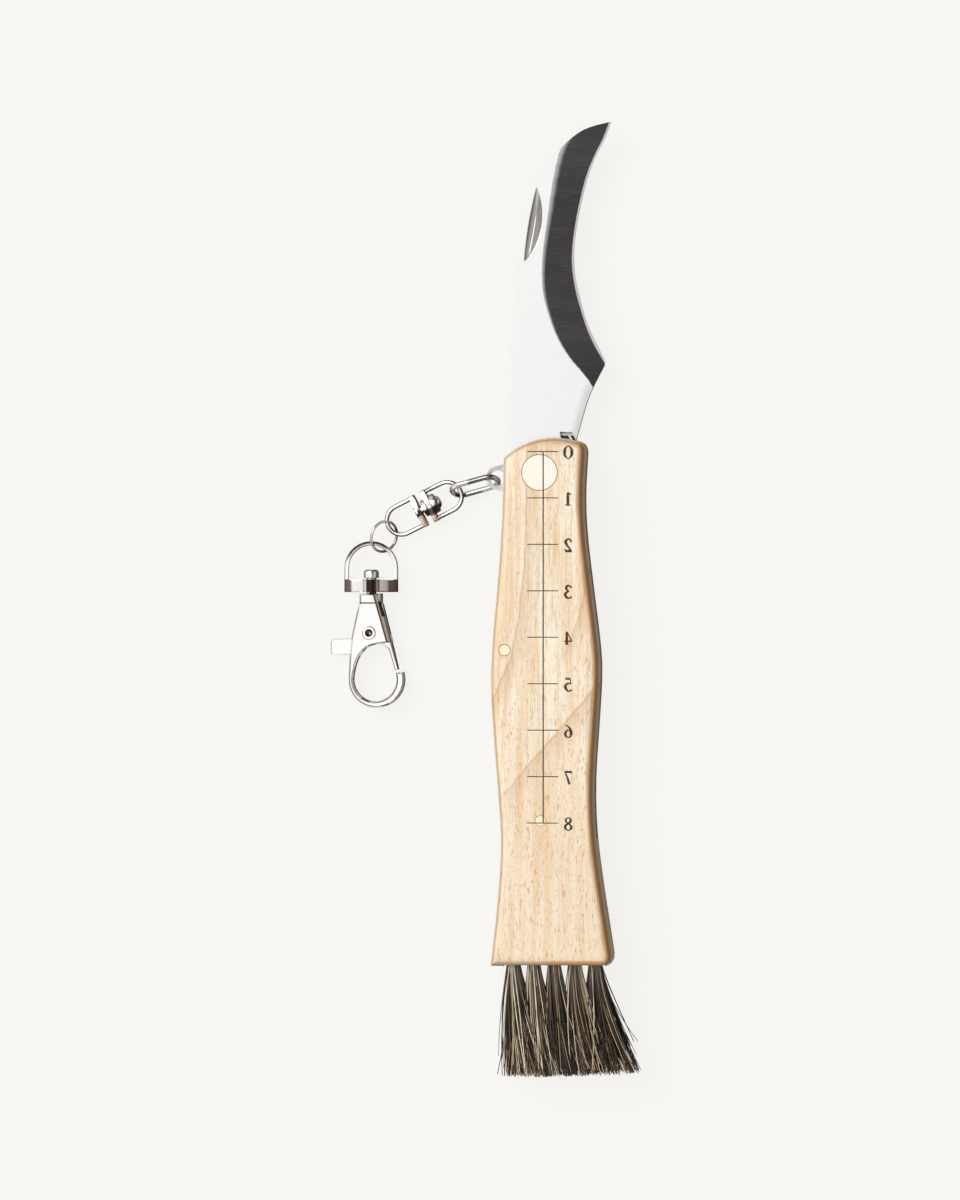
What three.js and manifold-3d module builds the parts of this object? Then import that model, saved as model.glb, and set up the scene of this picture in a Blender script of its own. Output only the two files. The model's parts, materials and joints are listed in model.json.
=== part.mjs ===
// Folding mushroom knife: a hooked blade in a slotted wooden handle, a brush in the butt,
// and a swivel chain with a snap clasp on the shoulder. Millimetres, degrees.
// The knife lies open on its rear face: +Z is up from that face, +Y runs from the brush to the tip,
// and the origin is on the rear face, halfway along the handle.
import * as THREE from 'three';
import { mergeVertices } from 'three/addons/utils/BufferGeometryUtils.js';
import Module from 'manifold-3d';

const wasm = await Module();
wasm.setup();

// Fits shared by all pieces
const pinFit = 0.06; // radial play of a pin in its hole
const gap = 0.3; // between a moving piece and its neighbour
const overrun = 2; // how far a cutter passes the face that it cuts
const weld = 0.0001; // points closer than this are one point

// Handle
const handleLength = 114.2;
const handleWidth = 26.4;
const handleThickness = 14;
const cheekThickness = 4.6; // wood beside the saw slot
const edgeRound = 1.7; // how far the faces draw in at the edges
const crownRadius = 16.3;
const crownCentreShare = 0.08; // of the handle's width, to the edge side
const crownEndShare = -0.339; // the crown's spine end
const shoulderShare = 0.345; // the edge side's upper end
const shoulderRound = 2.6;
const buttRound = 2.7;
const slotFloorShare = -0.2583; // of the handle's length, where the saw slot ends

// Steel pack in the slot
const linerThickness = 1;
const linerSeat = 0.05; // between liner and wood
const linerInset = 0.15; // liner edge inside the wood's outline
const springThickness = 2.3;
const eyeHole = 1.68; // radius
const eyeRim = 0.85;
const eyeReach = 1.75; // from the liner's edge to the eye's centre
const eyeShare = 0.425; // of the handle's length, above its middle
const eyeRoot = 7.2; // length of the flare along the liner
const eyeRimArc = [108, 252]; // degrees, the round rim between the ends of the flare

// Pins
const pinShares = [[-0.0325, 0.4335], [-0.318, 0.0985], [-0.0246, -0.2234]]; // pivot, middle, tail
const pivotHead = 3.8; // radii from here
const pivotShaft = 2;
const midPinRadius = 1.17;
const tailPinRadius = 1.1;
const pivotHeadDepth = 1.5;
const washerRadius = 4.3;
const washerThickness = 0.25;

// Blade, measured from the pivot
const bladeReach = 76; // pivot to tip, along the handle
const bladeWidth = 20.3; // spine line to heel
const bladeThickness = 2;
const tangRadius = 4.8;
const tangStart = 38; // degrees, where the kick meets the round tang
const edgeThickness = 0.1;
const shoulderHeight = 2.85; // of the tang's shoulder above the pivot
const microBevel = 0.45;
const microBevelHeight = 0.34; // full thickness where the micro-bevel starts
const nickLength = 16.2;
const nickDepth = 0.75;
const kickDepth = 1.3; // of the notch over the kick

// Brush
const tuftCount = 5;
const rowCount = 3;
const tuftPitch = 4.4;
const rowPitch = 3.5;
const tuftRadius = 1.2;
const bristleLength = 23.2;
const bristleRadius = 0.15;
const bristleTipRadius = 0.09;
const bristleRoot = 2.5; // sunk into the strip
const bristleRings = [1, 7, 14]; // bristles on each ring of a tuft
const tipSpreadShare = 2.4; // width of a tuft's tips over its root's, along the butt
const rowSpreadShare = 1.45; // the same from face to face
const brushCentreShare = 0.078; // of the handle's width
const brushPocketDepth = 5;
const brushPocketRecess = 0.4;
const stripMargin = 0.95; // strip past its outer tufts
const leanShares = [0.0175, 0.344]; // sideways per length, of the tufts at the spine and edge sides
const trimShare = 0.06; // of the bristles' length, by which they differ

// Eye link, an oval of round wire
const linkWire = 1.2;
const linkWidth = 4.2; // between wire centres
const linkReach = 10.6; // between wire centres, end to end
const linkSlack = 0.4; // of the link's end in the eye
const linkHeading = 194.8; // in plan, from +X
const linkRoll = -57;
const linkFarHeight = 2.6;

// Swivel of two bails
const bailWire = 1;
const bailWidth = 7.4;
const bailLength = 8.6;
const bailPlate = 1.1;
const bailPlateHeight = 2.6;
const swivelRivet = 0.8; // radius
const swivelDome = 1.5;
const swivelDomeHeight = 1.2;
const swivelPeen = 1.15;
const swivelPeenHeight = 0.6;
const swivelWasher = 1.6;
const swivelWasherThickness = 0.9;
const swivelHeading = 206.5;
const swivelPlay = 1.7; // between the wire centres of link and bail
const swivelNearHeight = 2.8;
const swivelFarHeight = 1.85;

// Jump ring
const ringRadius = 3.4;
const ringWire = 0.6;
const ringHang = 2.34; // from the bail's wire to the ring's centre
const ringHangHeading = 248;
const ringHeight = 2.8;
const ringTilt = 43;
const ringTiltHeading = 160;

// Clasp: bail, post, body, lever
const claspHeight = 2.85; // of the clasp's axis over the rear face
const claspHeading = 270;
const claspHang = 2.95; // from the ring's centre to the bail's band
const claspHangHeading = 200;
const claspBailWidth = 11.7;
const claspBailLength = 11.1;
const claspBand = 0.9;
const claspBandHeight = 1.4;
const crossbarDepth = 2.6;
const crossbarBoss = 2; // radius
const postRadius = 1.1;
const postHead = 1.67;
const postHeadHeight = 2;
const postSink = 2.2;
const claspThickness = 4;
const claspEdge = 0.4;
const collarWidth = 4.8;
const collarLength = 2.1;
const claspStep = 0.2; // of the body over the collar
const claspLength = 24.85;
const hookOuter = 6.1; // radii
const hookInner = 4.8;
const hookOffset = 1.25; // of the hook's ring from the clasp's axis
const hookArc = [-90, 106]; // degrees, the hook's outer side from the back to the tip
const hookInnerArc = [108, -96]; // degrees, its inner side from the tip to the back
const gateGap = 0.5; // from the hook's inner tip, along the clasp
const gateDrop = 0.22; // the same, across
const gateWidth = 0.88;
const gateEndHeading = 111; // degrees
const cheekGap = 2; // slot between the clasp's cheeks
const leverThickness = 1.6;
const leverPinShare = [0.346, -0.0141]; // of the clasp's length, from its collar
const leverPinRadius = 1.15;
const leverPinBore = 0.75;
const leverPinFlange = 1.5;
const leverPinFlangeHeight = 0.2;
const leverSpringRadius = 0.62; // of the coil's centre line
const leverSpringWire = 0.26;
const leverSpringTurns = 4;
const leverSpringLength = 3.3;
const leverSpringShare = -0.5; // of the collar's width, from the clasp's axis

// Sides of round pieces
const pinSides = 24;
const wireSides = 8;

const middle = handleThickness / 2;
const slotWidth = handleThickness - 2 * cheekThickness;
const linerGap = slotWidth - 2 * (linerThickness + linerSeat);
const slotFloor = slotFloorShare * handleLength;

const finishes = {
  wood: { color: 0xe8cda6, roughness: 0.6, metalness: 0 },
  brass: { color: 0xe9d9a4, roughness: 0.3, metalness: 1 },
  steel: { color: 0xd9dadb, roughness: 0.22, metalness: 1 },
  spring: { color: 0xa9abad, roughness: 0.35, metalness: 1 },
  nickel: { color: 0xd4d2cd, roughness: 0.15, metalness: 1 },
  bristle: { color: 0x6e6152, roughness: 0.8, metalness: 0 },
};

const radians = THREE.MathUtils.degToRad;
const point = (x, y) => new THREE.Vector2(x, y);

function piece(name, geometry, finish) {
  const mesh = new THREE.Mesh(geometry, new THREE.MeshStandardMaterial(finishes[finish]));
  mesh.name = name;
  return mesh;
}

// A closed geometry as a solid that can be cut and joined
function solid(geometry) {
  const bare = geometry.clone();
  bare.deleteAttribute('normal');
  bare.deleteAttribute('uv');
  const merged = mergeVertices(bare, weld);
  const corners = Array.from(merged.index.array);
  const triangles = Array.from({ length: corners.length / 3 }, (_, i) => corners.slice(3 * i, 3 * i + 3));
  const triVerts = Uint32Array.from(triangles.filter((t) => new Set(t).size === 3).flat());
  const vertProperties = Float32Array.from(merged.attributes.position.array);
  return new wasm.Manifold(new wasm.Mesh({ numProp: 3, vertProperties, triVerts }));
}

function surface(manifold) {
  const mesh = manifold.getMesh();
  const geometry = new THREE.BufferGeometry();
  geometry.setAttribute('position', new THREE.BufferAttribute(Float32Array.from(mesh.vertProperties), 3));
  geometry.setIndex(new THREE.BufferAttribute(Uint32Array.from(mesh.triVerts), 1));
  geometry.computeVertexNormals();
  return geometry;
}

// A flat outline as a plate from one height to another, with an optional edge bevel
function plate(points, low, high, bevel = 0) {
  const geometry = new THREE.ExtrudeGeometry(new THREE.Shape(points), {
    depth: high - low - 2 * bevel,
    bevelEnabled: bevel > 0,
    bevelThickness: bevel,
    bevelSize: bevel,
    bevelOffset: -bevel,
    bevelSegments: 1,
  });
  return geometry.translate(0, 0, low + bevel);
}

// A profile of radius and height, turned about Z
function turned(profile, sides = pinSides) {
  return new THREE.LatheGeometry(profile.map(([r, z]) => point(r, z)), sides).rotateX(Math.PI / 2);
}

function rod(radius, low, high, sides = pinSides) {
  return turned([[0, low], [radius, low], [radius, high], [0, high]], sides);
}

function block(low, high) {
  const size = high.clone().sub(low);
  const centre = low.clone().add(high).multiplyScalar(0.5);
  return new THREE.BoxGeometry(size.x, size.y, size.z).translate(centre.x, centre.y, centre.z);
}

function arc(centre, radius, from, to, steps) {
  return Array.from({ length: steps + 1 }, (_, i) => {
    const angle = radians(from + ((to - from) * i) / steps);
    return point(centre.x + radius * Math.cos(angle), centre.y + radius * Math.sin(angle));
  });
}

function smooth(points, steps) {
  return new THREE.SplineCurve(points).getPoints(steps);
}

function onSize(shares, width, length) {
  return shares.map(([x, y]) => point(x * width, y * length));
}

// A closed outline drawn in by a small distance
function inset(points, distance) {
  return points.map((p, i) => {
    const before = points[(i + points.length - 1) % points.length];
    const after = points[(i + 1) % points.length];
    const along = after.clone().sub(before).normalize();
    return point(p.x - along.y * distance, p.y + along.x * distance);
  });
}

// A round corner from one point to another, bent towards the corner between them
function corner(from, at, to, steps) {
  return new THREE.QuadraticBezierCurve(from, at, to).getPoints(steps);
}

// Round wire along flat points: a closed loop, or a run with two flat ends
function wire(points, thickness, closed, sides = wireSides) {
  const positions = [];
  const index = [];
  const count = points.length;
  points.forEach((p, i) => {
    const before = points[closed ? (i + count - 1) % count : Math.max(i - 1, 0)];
    const after = points[closed ? (i + 1) % count : Math.min(i + 1, count - 1)];
    const along = after.clone().sub(before).normalize();
    for (let k = 0; k < sides; k += 1) {
      const turn = (2 * Math.PI * (k + 0.5)) / sides;
      const out = (Math.cos(turn) * thickness) / 2;
      positions.push(p.x + along.y * out, p.y - along.x * out, (Math.sin(turn) * thickness) / 2);
    }
  });
  const spans = closed ? count : count - 1;
  for (let i = 0; i < spans; i += 1) {
    for (let k = 0; k < sides; k += 1) {
      const a = i * sides + k;
      const b = i * sides + ((k + 1) % sides);
      const c = ((i + 1) % count) * sides + k;
      const d = ((i + 1) % count) * sides + ((k + 1) % sides);
      index.push(a, c, b, b, c, d);
    }
  }
  for (let k = 1; !closed && k < sides - 1; k += 1) {
    const last = (count - 1) * sides;
    index.push(0, k, k + 1, last, last + k + 1, last + k);
  }
  const geometry = new THREE.BufferGeometry();
  geometry.setAttribute('position', new THREE.Float32BufferAttribute(positions, 3));
  geometry.setIndex(index);
  return geometry;
}

// Handle outline, anticlockwise from the butt's spine corner, in shares of its width and length.
// The edge side runs up to the shoulder and the spine side starts at the crown's end.
const buttCornerShares = [[-0.447, -0.5], [0.565, -0.5]];
const buttEdgeShare = 0.5605;
const edgeSideShares = [
  [0.523, -0.42], [0.468, -0.337], [0.42, -0.245], [0.409, -0.149], [0.439, -0.035],
  [0.458, 0.044], [0.449, 0.105], [0.394, 0.21], [0.341, 0.315], [0.327, 0.394],
];
const spineSideShares = [
  [-0.352, 0.354], [-0.381, 0.245], [-0.424, 0.137], [-0.444, 0.035], [-0.419, -0.07],
  [-0.386, -0.166], [-0.361, -0.267], [-0.386, -0.368], [-0.43, -0.464],
];
const onHandle = (shares) => onSize(shares, handleWidth, handleLength);
const shoulderX = shoulderShare * handleWidth;
const crownCentre = point(crownCentreShare * handleWidth, handleLength / 2 - crownRadius);
const crownAngle = (x) => THREE.MathUtils.radToDeg(Math.acos((x - crownCentre.x) / crownRadius));
const crownStart = crownAngle(shoulderX - shoulderRound);
const crownEnd = crownAngle(crownEndShare * handleWidth);
const crown = arc(crownCentre, crownRadius, crownStart, crownEnd, 12);
const [spineCorner, edgeCorner] = onHandle(buttCornerShares);
const edgeSide = [
  point(buttEdgeShare * handleWidth, edgeCorner.y + buttRound),
  ...onHandle(edgeSideShares),
  point(shoulderX, crown[0].y - shoulderRound),
];
const spineSide = [crown[crown.length - 1], ...onHandle(spineSideShares)];

function handleOutline() {
  const edge = smooth(edgeSide, 30);
  const shoulderCorner = point(shoulderX, crown[0].y);
  return [
    spineCorner,
    ...corner(point(edgeCorner.x - buttRound, edgeCorner.y), edgeCorner, edge[0], 4).slice(0, -1),
    ...edge.slice(0, -1),
    ...corner(edge[edge.length - 1], shoulderCorner, crown[0], 4).slice(0, -1),
    ...crown,
    ...smooth(spineSide, 26).slice(1),
  ];
}

const outline = handleOutline();
const packOutline = inset(outline, linerInset);
const [pivot, midPin, tailPin] = onHandle(pinShares);
const brushCentre = brushCentreShare * handleWidth;
const brushLength = (tuftCount - 1) * tuftPitch + 2 * (tuftRadius + stripMargin);
const brushHeight = (rowCount - 1) * rowPitch + 2 * (tuftRadius + gap);

function hole(centre, radius, low = -overrun, high = handleThickness + overrun) {
  return solid(rod(radius + pinFit, low, high).translate(centre.x, centre.y, 0));
}

function packSpan(low, high) {
  const floor = slotFloor + gap;
  const reach = handleWidth + overrun;
  return solid(block(new THREE.Vector3(-reach, floor, low), new THREE.Vector3(reach, handleLength, high)));
}

function handle() {
  const body = new THREE.ExtrudeGeometry(new THREE.Shape(outline), {
    depth: slotWidth,
    bevelThickness: cheekThickness,
    bevelSize: edgeRound,
    bevelOffset: -edgeRound,
    bevelSegments: 4,
  }).translate(0, 0, cheekThickness);
  const reach = handleWidth + overrun;
  const slot = block(
    new THREE.Vector3(-reach, slotFloor, middle - slotWidth / 2),
    new THREE.Vector3(reach, handleLength, middle + slotWidth / 2),
  );
  const butt = -handleLength / 2;
  const side = brushLength / 2 + pinFit;
  const tall = brushHeight / 2 + gap;
  const pocket = block(
    new THREE.Vector3(brushCentre - side, butt - overrun, middle - tall),
    new THREE.Vector3(brushCentre + side, butt + brushPocketDepth, middle + tall),
  );
  return surface(solid(body)
    .subtract(solid(slot))
    .subtract(solid(pocket))
    .subtract(hole(pivot, pivotShaft))
    .subtract(hole(pivot, pivotHead, -overrun, pivotHeadDepth + pinFit))
    .subtract(hole(pivot, pivotHead, handleThickness - pivotHeadDepth - pinFit))
    .subtract(hole(midPin, midPinRadius))
    .subtract(hole(tailPin, tailPinRadius)));
}

// The eye stands out of the rear liner's spine edge
const eyeCentre = point(
  spineEdgeAt(eyeShare * handleLength) - eyeReach,
  eyeShare * handleLength,
);

function spineEdgeAt(y) {
  const next = spineSide.findIndex((p) => p.y < y);
  const [above, below] = next > 0 ? [spineSide[next - 1], spineSide[next]] : [spineSide[0], spineSide[0]];
  const share = above === below ? 0 : (above.y - y) / (above.y - below.y);
  return above.x + (below.x - above.x) * share + linerInset;
}

function liner(low, withEye) {
  const high = low + linerThickness;
  let body = solid(plate(packOutline, low, high)).intersect(packSpan(low - overrun, high + overrun));
  if (withEye) {
    const rim = arc(eyeCentre, eyeHole + eyeRim, ...eyeRimArc, 10);
    const root = eyeCentre.x + eyeReach + overrun;
    const tab = [point(root, eyeCentre.y + eyeRoot / 2), ...rim, point(root, eyeCentre.y - eyeRoot / 2)];
    body = body.add(solid(plate(tab, low, high)));
    body = body.subtract(hole(eyeCentre, eyeHole - pinFit, low - overrun, high + overrun));
  }
  return surface(body
    .subtract(hole(pivot, pivotShaft))
    .subtract(hole(midPin, midPinRadius))
    .subtract(hole(tailPin, tailPinRadius)));
}

// The back spring: its nose presses the tang, its tail is pinned, and its back follows the handle's spine.
// Inner face from the nose to the tail, in shares of the handle's width and length
const springNoseShares = [[-0.25, 0.361], [-0.25, 0.372]];
const springInnerShares = [
  [-0.2535, 0.345], [-0.2545, 0.3], [-0.262, 0.252], [-0.2995, 0.205], [-0.301, 0.182], [-0.236, 0.127],
  [-0.212, 0.0985], [-0.239, 0.06], [-0.235, 0], [-0.19, -0.088], [-0.06, -0.162], [0.045, -0.19],
  [0.07, -0.222], [0.06, -0.249],
];

function backSpring() {
  const top = pivot.y + shoulderHeight - gap;
  const face = pivot.x - tangRadius - gap;
  const [noseFoot, noseTop] = onHandle(springNoseShares);
  const inner = smooth(onHandle(springInnerShares), 34);
  const reach = -handleWidth;
  const foot = slotFloor + gap;
  const side = [
    point(reach, foot),
    point(inner[inner.length - 1].x, foot),
    ...inner.reverse(),
    noseFoot,
    point(face, noseTop.y),
    point(face, top),
    point(reach, top),
  ];
  const low = middle - springThickness / 2;
  const high = middle + springThickness / 2;
  return surface(solid(plate(packOutline, low, high))
    .intersect(solid(plate(side, low - overrun, high + overrun)))
    .subtract(hole(midPin, midPinRadius))
    .subtract(hole(tailPin, tailPinRadius)));
}

// Blade outline from the pivot, in shares of its width and reach
const spineShares = [
  [-0.326, 0.06], [-0.326, 0.26], [-0.32, 0.38], [-0.291, 0.48], [-0.262, 0.59], [-0.226, 0.7],
  [-0.165, 0.775], [-0.085, 0.825], [0.02, 0.872], [0.11, 0.9], [0.2, 0.9235], [0.303, 0.95],
  [0.431, 0.9745], [0.57, 0.989], [0.742, 1],
];
const edgeShares = [
  [0.685, 0.957], [0.575, 0.9], [0.497, 0.845], [0.423, 0.768], [0.368, 0.69], [0.345, 0.625],
  [0.361, 0.556], [0.406, 0.502], [0.46, 0.447], [0.535, 0.396], [0.614, 0.353],
];
const heelShare = [0.677, 0.319];
const ricassoShares = [[0.672, 0.306], [0.531, 0.234], [0.463, 0.183], [0.375, 0.1]];
// The notch over the kick, where the blade meets the handle
const kickShares = [[0.37, 0.0905], [0.326, 0.1165], [0.192, 0.1175], [0.21, 0.094]];
// Where the grind starts on the flat, from past the tip to past the ricasso
const grindShares = [
  [0.8, 1.025], [0.6, 1.008], [0.457, 0.991], [0.3, 0.965], [0.2, 0.923], [0.127, 0.846], [0.063, 0.729],
  [0.027, 0.66], [0.008, 0.609], [0.004, 0.555], [0.02, 0.507], [0.069, 0.455], [0.148, 0.396],
  [0.234, 0.353], [0.329, 0.317], [0.425, 0.288], [0.532, 0.25], [0.62, 0.2],
];
// The cutting edge's line, carried on past the tip and the heel, station by station with the grind
const grindEdgeShares = [
  [0.84, 1.03], [0.764, 1.01], [0.735, 0.993], [0.67, 0.947], [0.594, 0.908], [0.497, 0.845], [0.413, 0.757],
  [0.365, 0.683], [0.345, 0.625], [0.352, 0.575], [0.385, 0.521], [0.43, 0.476], [0.495, 0.42],
  [0.572, 0.3715], [0.661, 0.329], [0.755, 0.288], [0.862, 0.243], [0.98, 0.19],
];

function bladeOutline() {
  const spine = smooth(onSize(spineShares, bladeWidth, bladeReach), 30);
  const edge = smooth(onSize([...edgeShares, heelShare], bladeWidth, bladeReach), 22);
  const ricasso = smooth(onSize(ricassoShares, bladeWidth, bladeReach), 8);
  const [kick, , , kickFoot] = onSize(kickShares, bladeWidth, bladeReach);
  const shoulder = Math.asin(shoulderHeight / tangRadius);
  const tang = arc(point(0, 0), tangRadius, tangStart, -180 - THREE.MathUtils.radToDeg(shoulder), 22);
  const shoulderEnd = point(spine[0].x, shoulderHeight);
  return [...spine, ...edge, ...ricasso, kick, kickFoot, ...tang, shoulderEnd].reverse();
}

// A closed body through sections of equally many corners
function lofted(sections) {
  const sides = sections[0].length;
  const last = (sections.length - 1) * sides;
  const index = [];
  for (let start = 0; start < last; start += sides) {
    for (let k = 0; k < sides; k += 1) {
      const a = start + k;
      const b = start + ((k + 1) % sides);
      index.push(a, b, a + sides, b, b + sides, a + sides);
    }
  }
  for (let k = 1; k < sides - 1; k += 1) {
    index.push(0, k + 1, k, last, last + k, last + k + 1);
  }
  const geometry = new THREE.BufferGeometry();
  geometry.setAttribute('position', new THREE.Float32BufferAttribute(sections.flat(2), 3));
  geometry.setIndex(index);
  return solid(geometry);
}

// The cutter that leaves the bevel and the micro-bevel on one side of the blade
function grinder() {
  const inner = smooth(onSize(grindShares, bladeWidth, bladeReach), 40);
  const outer = smooth(onSize(grindEdgeShares, bladeWidth, bladeReach), 40);
  const top = bladeThickness / 2;
  return lofted(inner.map((from, i) => {
    const to = outer[i];
    const across = to.clone().sub(from);
    const micro = from.clone().addScaledVector(across, 1 - microBevel / across.length());
    const past = to.clone().addScaledVector(across, overrun / across.length());
    const fall = (microBevelHeight - edgeThickness) / 2 / microBevel;
    const back = from.clone().addScaledVector(across, -overrun / across.length());
    const rise = (overrun * (top - microBevelHeight / 2)) / (across.length() - microBevel);
    return [
      [back.x, back.y, top + rise],
      [micro.x, micro.y, microBevelHeight / 2],
      [past.x, past.y, edgeThickness / 2 - fall * overrun],
      [past.x, past.y, top + overrun],
      [back.x, back.y, top + overrun],
    ];
  }));
}

// The nail nick: a lens with two slopes that meet in a line. Its sides run from its upper end to
// its lower one, in shares of its length, with x towards the edge
const nickSpineShares = [
  [0.165, 1], [0.131, 0.87], [0.092, 0.69], [0.053, 0.48], [0.021, 0.25], [0.003, 0.07], [0, 0],
];
const nickEdgeShares = [
  [0.172, 0.998], [0.222, 0.87], [0.255, 0.69], [0.245, 0.48], [0.18, 0.25], [0.078, 0.07], [0.007, 0.002],
];
const nickLineShare = 0.4; // of its width, from the spine's side
const nickPlaceShare = [-0.189, 0.6025];

function nick() {
  const left = smooth(onSize(nickSpineShares, nickLength, nickLength), 20);
  const right = smooth(onSize(nickEdgeShares, nickLength, nickLength), 20);
  const rim = bladeThickness / 2;
  const widths = left.map((from, i) => from.distanceTo(right[i]));
  const widest = Math.max(...widths);
  const [place] = onSize([nickPlaceShare], bladeWidth, bladeReach);
  return lofted(left.map((from, i) => {
    const to = right[i];
    const line = from.clone().lerp(to, nickLineShare);
    return [
      [from.x, from.y, rim],
      [line.x, line.y, rim - nickDepth * (widths[i] / widest)],
      [to.x, to.y, rim],
      [to.x, to.y, rim + overrun],
      [from.x, from.y, rim + overrun],
    ];
  })).translate(place.x, place.y, 0);
}

// The notch over the kick is open at its foot, below the handle's crown
function kickNotch() {
  const sides = onSize(kickShares, bladeWidth, bladeReach);
  const below = (p) => point(p.x, p.y - overrun);
  const outline = [below(sides[0]), ...sides, below(sides[sides.length - 1])];
  const rim = bladeThickness / 2;
  return solid(plate(outline, rim - kickDepth, rim + overrun));
}

function blade() {
  const half = bladeThickness / 2;
  const blank = solid(plate(bladeOutline(), -half, half));
  const grind = grinder();
  const ground = blank.subtract(grind).subtract(grind.mirror([0, 0, 1]));
  const bored = ground.subtract(solid(rod(pivotShaft + pinFit, -overrun, overrun)));
  return surface(bored.subtract(nick()).subtract(kickNotch())).translate(pivot.x, pivot.y, middle);
}

function pivotRivet() {
  const top = handleThickness;
  const profile = [
    [0, 0], [pivotHead, 0], [pivotHead, pivotHeadDepth], [pivotShaft, pivotHeadDepth],
    [pivotShaft, top - pivotHeadDepth], [pivotHead, top - pivotHeadDepth], [pivotHead, top], [0, top],
  ];
  return turned(profile).translate(pivot.x, pivot.y, 0);
}

function washer(side) {
  const inner = pivotShaft + pinFit;
  const clear = (linerGap - bladeThickness) / 2;
  const from = middle + side * (bladeThickness + clear) / 2 - washerThickness / 2;
  const to = from + washerThickness;
  const profile = [[inner, from], [washerRadius, from], [washerRadius, to], [inner, to], [inner, from]];
  return turned(profile).translate(pivot.x, pivot.y, 0);
}

function pin(centre, radius) {
  return rod(radius, 0, handleThickness).translate(centre.x, centre.y, 0);
}

// One strip of the brush with its row of tufts: bristles fan out and lean towards the edge side
function bristleRow(row) {
  const butt = -handleLength / 2;
  const face = butt + brushPocketRecess;
  const height = middle + (row - (rowCount - 1) / 2) * rowPitch;
  const half = (rowPitch - gap) / 2;
  let strip = solid(block(
    new THREE.Vector3(brushCentre - brushLength / 2, face, height - half),
    new THREE.Vector3(brushCentre + brushLength / 2, butt + brushPocketDepth - gap, height + half),
  ));
  for (let tuft = 0; tuft < tuftCount; tuft += 1) {
    const place = brushCentre + (tuft - (tuftCount - 1) / 2) * tuftPitch;
    const lean = THREE.MathUtils.lerp(...leanShares, tuft / (tuftCount - 1));
    const strands = [];
    bristleRings.forEach((count, ring) => {
      const radius = ((tuftRadius - bristleRadius) * ring) / (bristleRings.length - 1);
      for (let k = 0; k < count; k += 1) {
        const turn = (2 * Math.PI * (k + 0.5 * (ring % 2))) / count;
        const trim = trimShare * (1 - Math.cos(3.7 * k + 2.1 * ring + 1.3 * tuft + row));
        const length = bristleLength * (1 - trim);
        const out = point(radius * Math.cos(turn), radius * Math.sin(turn));
        const root = new THREE.Vector3(place + out.x, face, height + out.y);
        const way = new THREE.Vector3(
          lean + (out.x * (tipSpreadShare - 1)) / bristleLength,
          -1,
          (out.y * (rowSpreadShare - 1)) / bristleLength,
        ).normalize();
        strands.push(strand(root, way, length, turn));
      }
    });
    strip = wasm.Manifold.union([strip, ...strands]);
  }
  return surface(strip);
}

function strand(root, way, length, turn) {
  const geometry = new THREE.CylinderGeometry(bristleTipRadius, bristleRadius, length + bristleRoot, 3, 1)
    .translate(0, (length - bristleRoot) / 2, 0)
    .rotateY(turn)
    .applyQuaternion(new THREE.Quaternion().setFromUnitVectors(new THREE.Vector3(0, 1, 0), way))
    .translate(root.x, root.y, root.z);
  return solid(geometry);
}

// Chain pieces have their own frames: X runs down the chain, and their wires lie in XY
function along(heading, distance) {
  return point(Math.cos(radians(heading)) * distance, Math.sin(radians(heading)) * distance);
}

function chainGroup(name, place, height, heading, pitch, roll = 0) {
  const group = new THREE.Group();
  group.name = name;
  group.position.set(place.x, place.y, height);
  group.rotation.set(radians(roll), pitch, radians(heading), 'ZYX');
  return group;
}

function eyeLink() {
  const half = linkWidth / 2;
  const near = arc(point(half, 0), half, 90, 270, 10);
  const far = arc(point(linkReach - half, 0), half, -90, 90, 10);
  return wire([...near, ...far], linkWire, true);
}

// A bail of the swivel, from its apex to the plate that the rivet holds
function bail() {
  const half = (bailWidth - bailWire) / 2;
  const end = bailLength - bailWire / 2;
  const loop = arc(point(half, 0), half, 90, 270, 12);
  const legs = [point(end - bailPlate / 2, half), ...loop, point(end - bailPlate / 2, -half)];
  const reach = bailWidth / 2;
  const tall = bailPlateHeight / 2;
  const chamfer = bailWire / 4;
  const section = [
    point(-reach, -tall + chamfer), point(-reach + chamfer, -tall), point(reach - chamfer, -tall),
    point(reach, -tall + chamfer), point(reach, tall - chamfer), point(reach - chamfer, tall),
    point(-reach + chamfer, tall), point(-reach, tall - chamfer),
  ];
  const foot = solid(toChain(plate(section, end - bailPlate, end)));
  const bore = solid(toChain(rod(swivelRivet + pinFit, end - bailPlate - overrun, end + overrun)));
  return surface(solid(wire(legs, bailWire, false)).add(foot).subtract(bore));
}

// Turns a piece made about Z so that its axis runs down the chain
function toChain(geometry) {
  return geometry.rotateX(Math.PI / 2).rotateZ(Math.PI / 2);
}

const swivelReach = swivelWasherThickness + 2 * gap;
const plateEnd = bailLength - bailWire / 2;

function swivelRivetPiece() {
  const near = plateEnd - bailPlate - gap;
  const far = plateEnd + swivelReach + bailPlate + pinFit;
  const dome = [70, 45, 22, 0].map((angle) => [
    swivelDome * Math.cos(radians(angle)), near - swivelDomeHeight * Math.sin(radians(angle)),
  ]);
  const profile = [
    [0, near - swivelDomeHeight], ...dome,
    [swivelRivet, near], [swivelRivet, far], [swivelPeen, far],
    [swivelPeen, far + swivelPeenHeight / 2], [swivelRivet, far + swivelPeenHeight],
    [0, far + swivelPeenHeight],
  ];
  return toChain(turned(profile, 16));
}

function swivelWasherPiece() {
  const from = plateEnd + gap;
  const to = from + swivelWasherThickness;
  const inner = swivelRivet + pinFit;
  const profile = [[inner, from], [swivelWasher, from], [swivelWasher, to], [inner, to], [inner, from]];
  return toChain(turned(profile, 16));
}

function jumpRing() {
  return wire(arc(point(0, 0), ringRadius, 0, 360, 30).slice(0, -1), ringWire, true, 6);
}

// Clasp frame: X runs down the chain from the band of its bail
const crossbarTop = claspBailLength - crossbarDepth;

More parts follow.
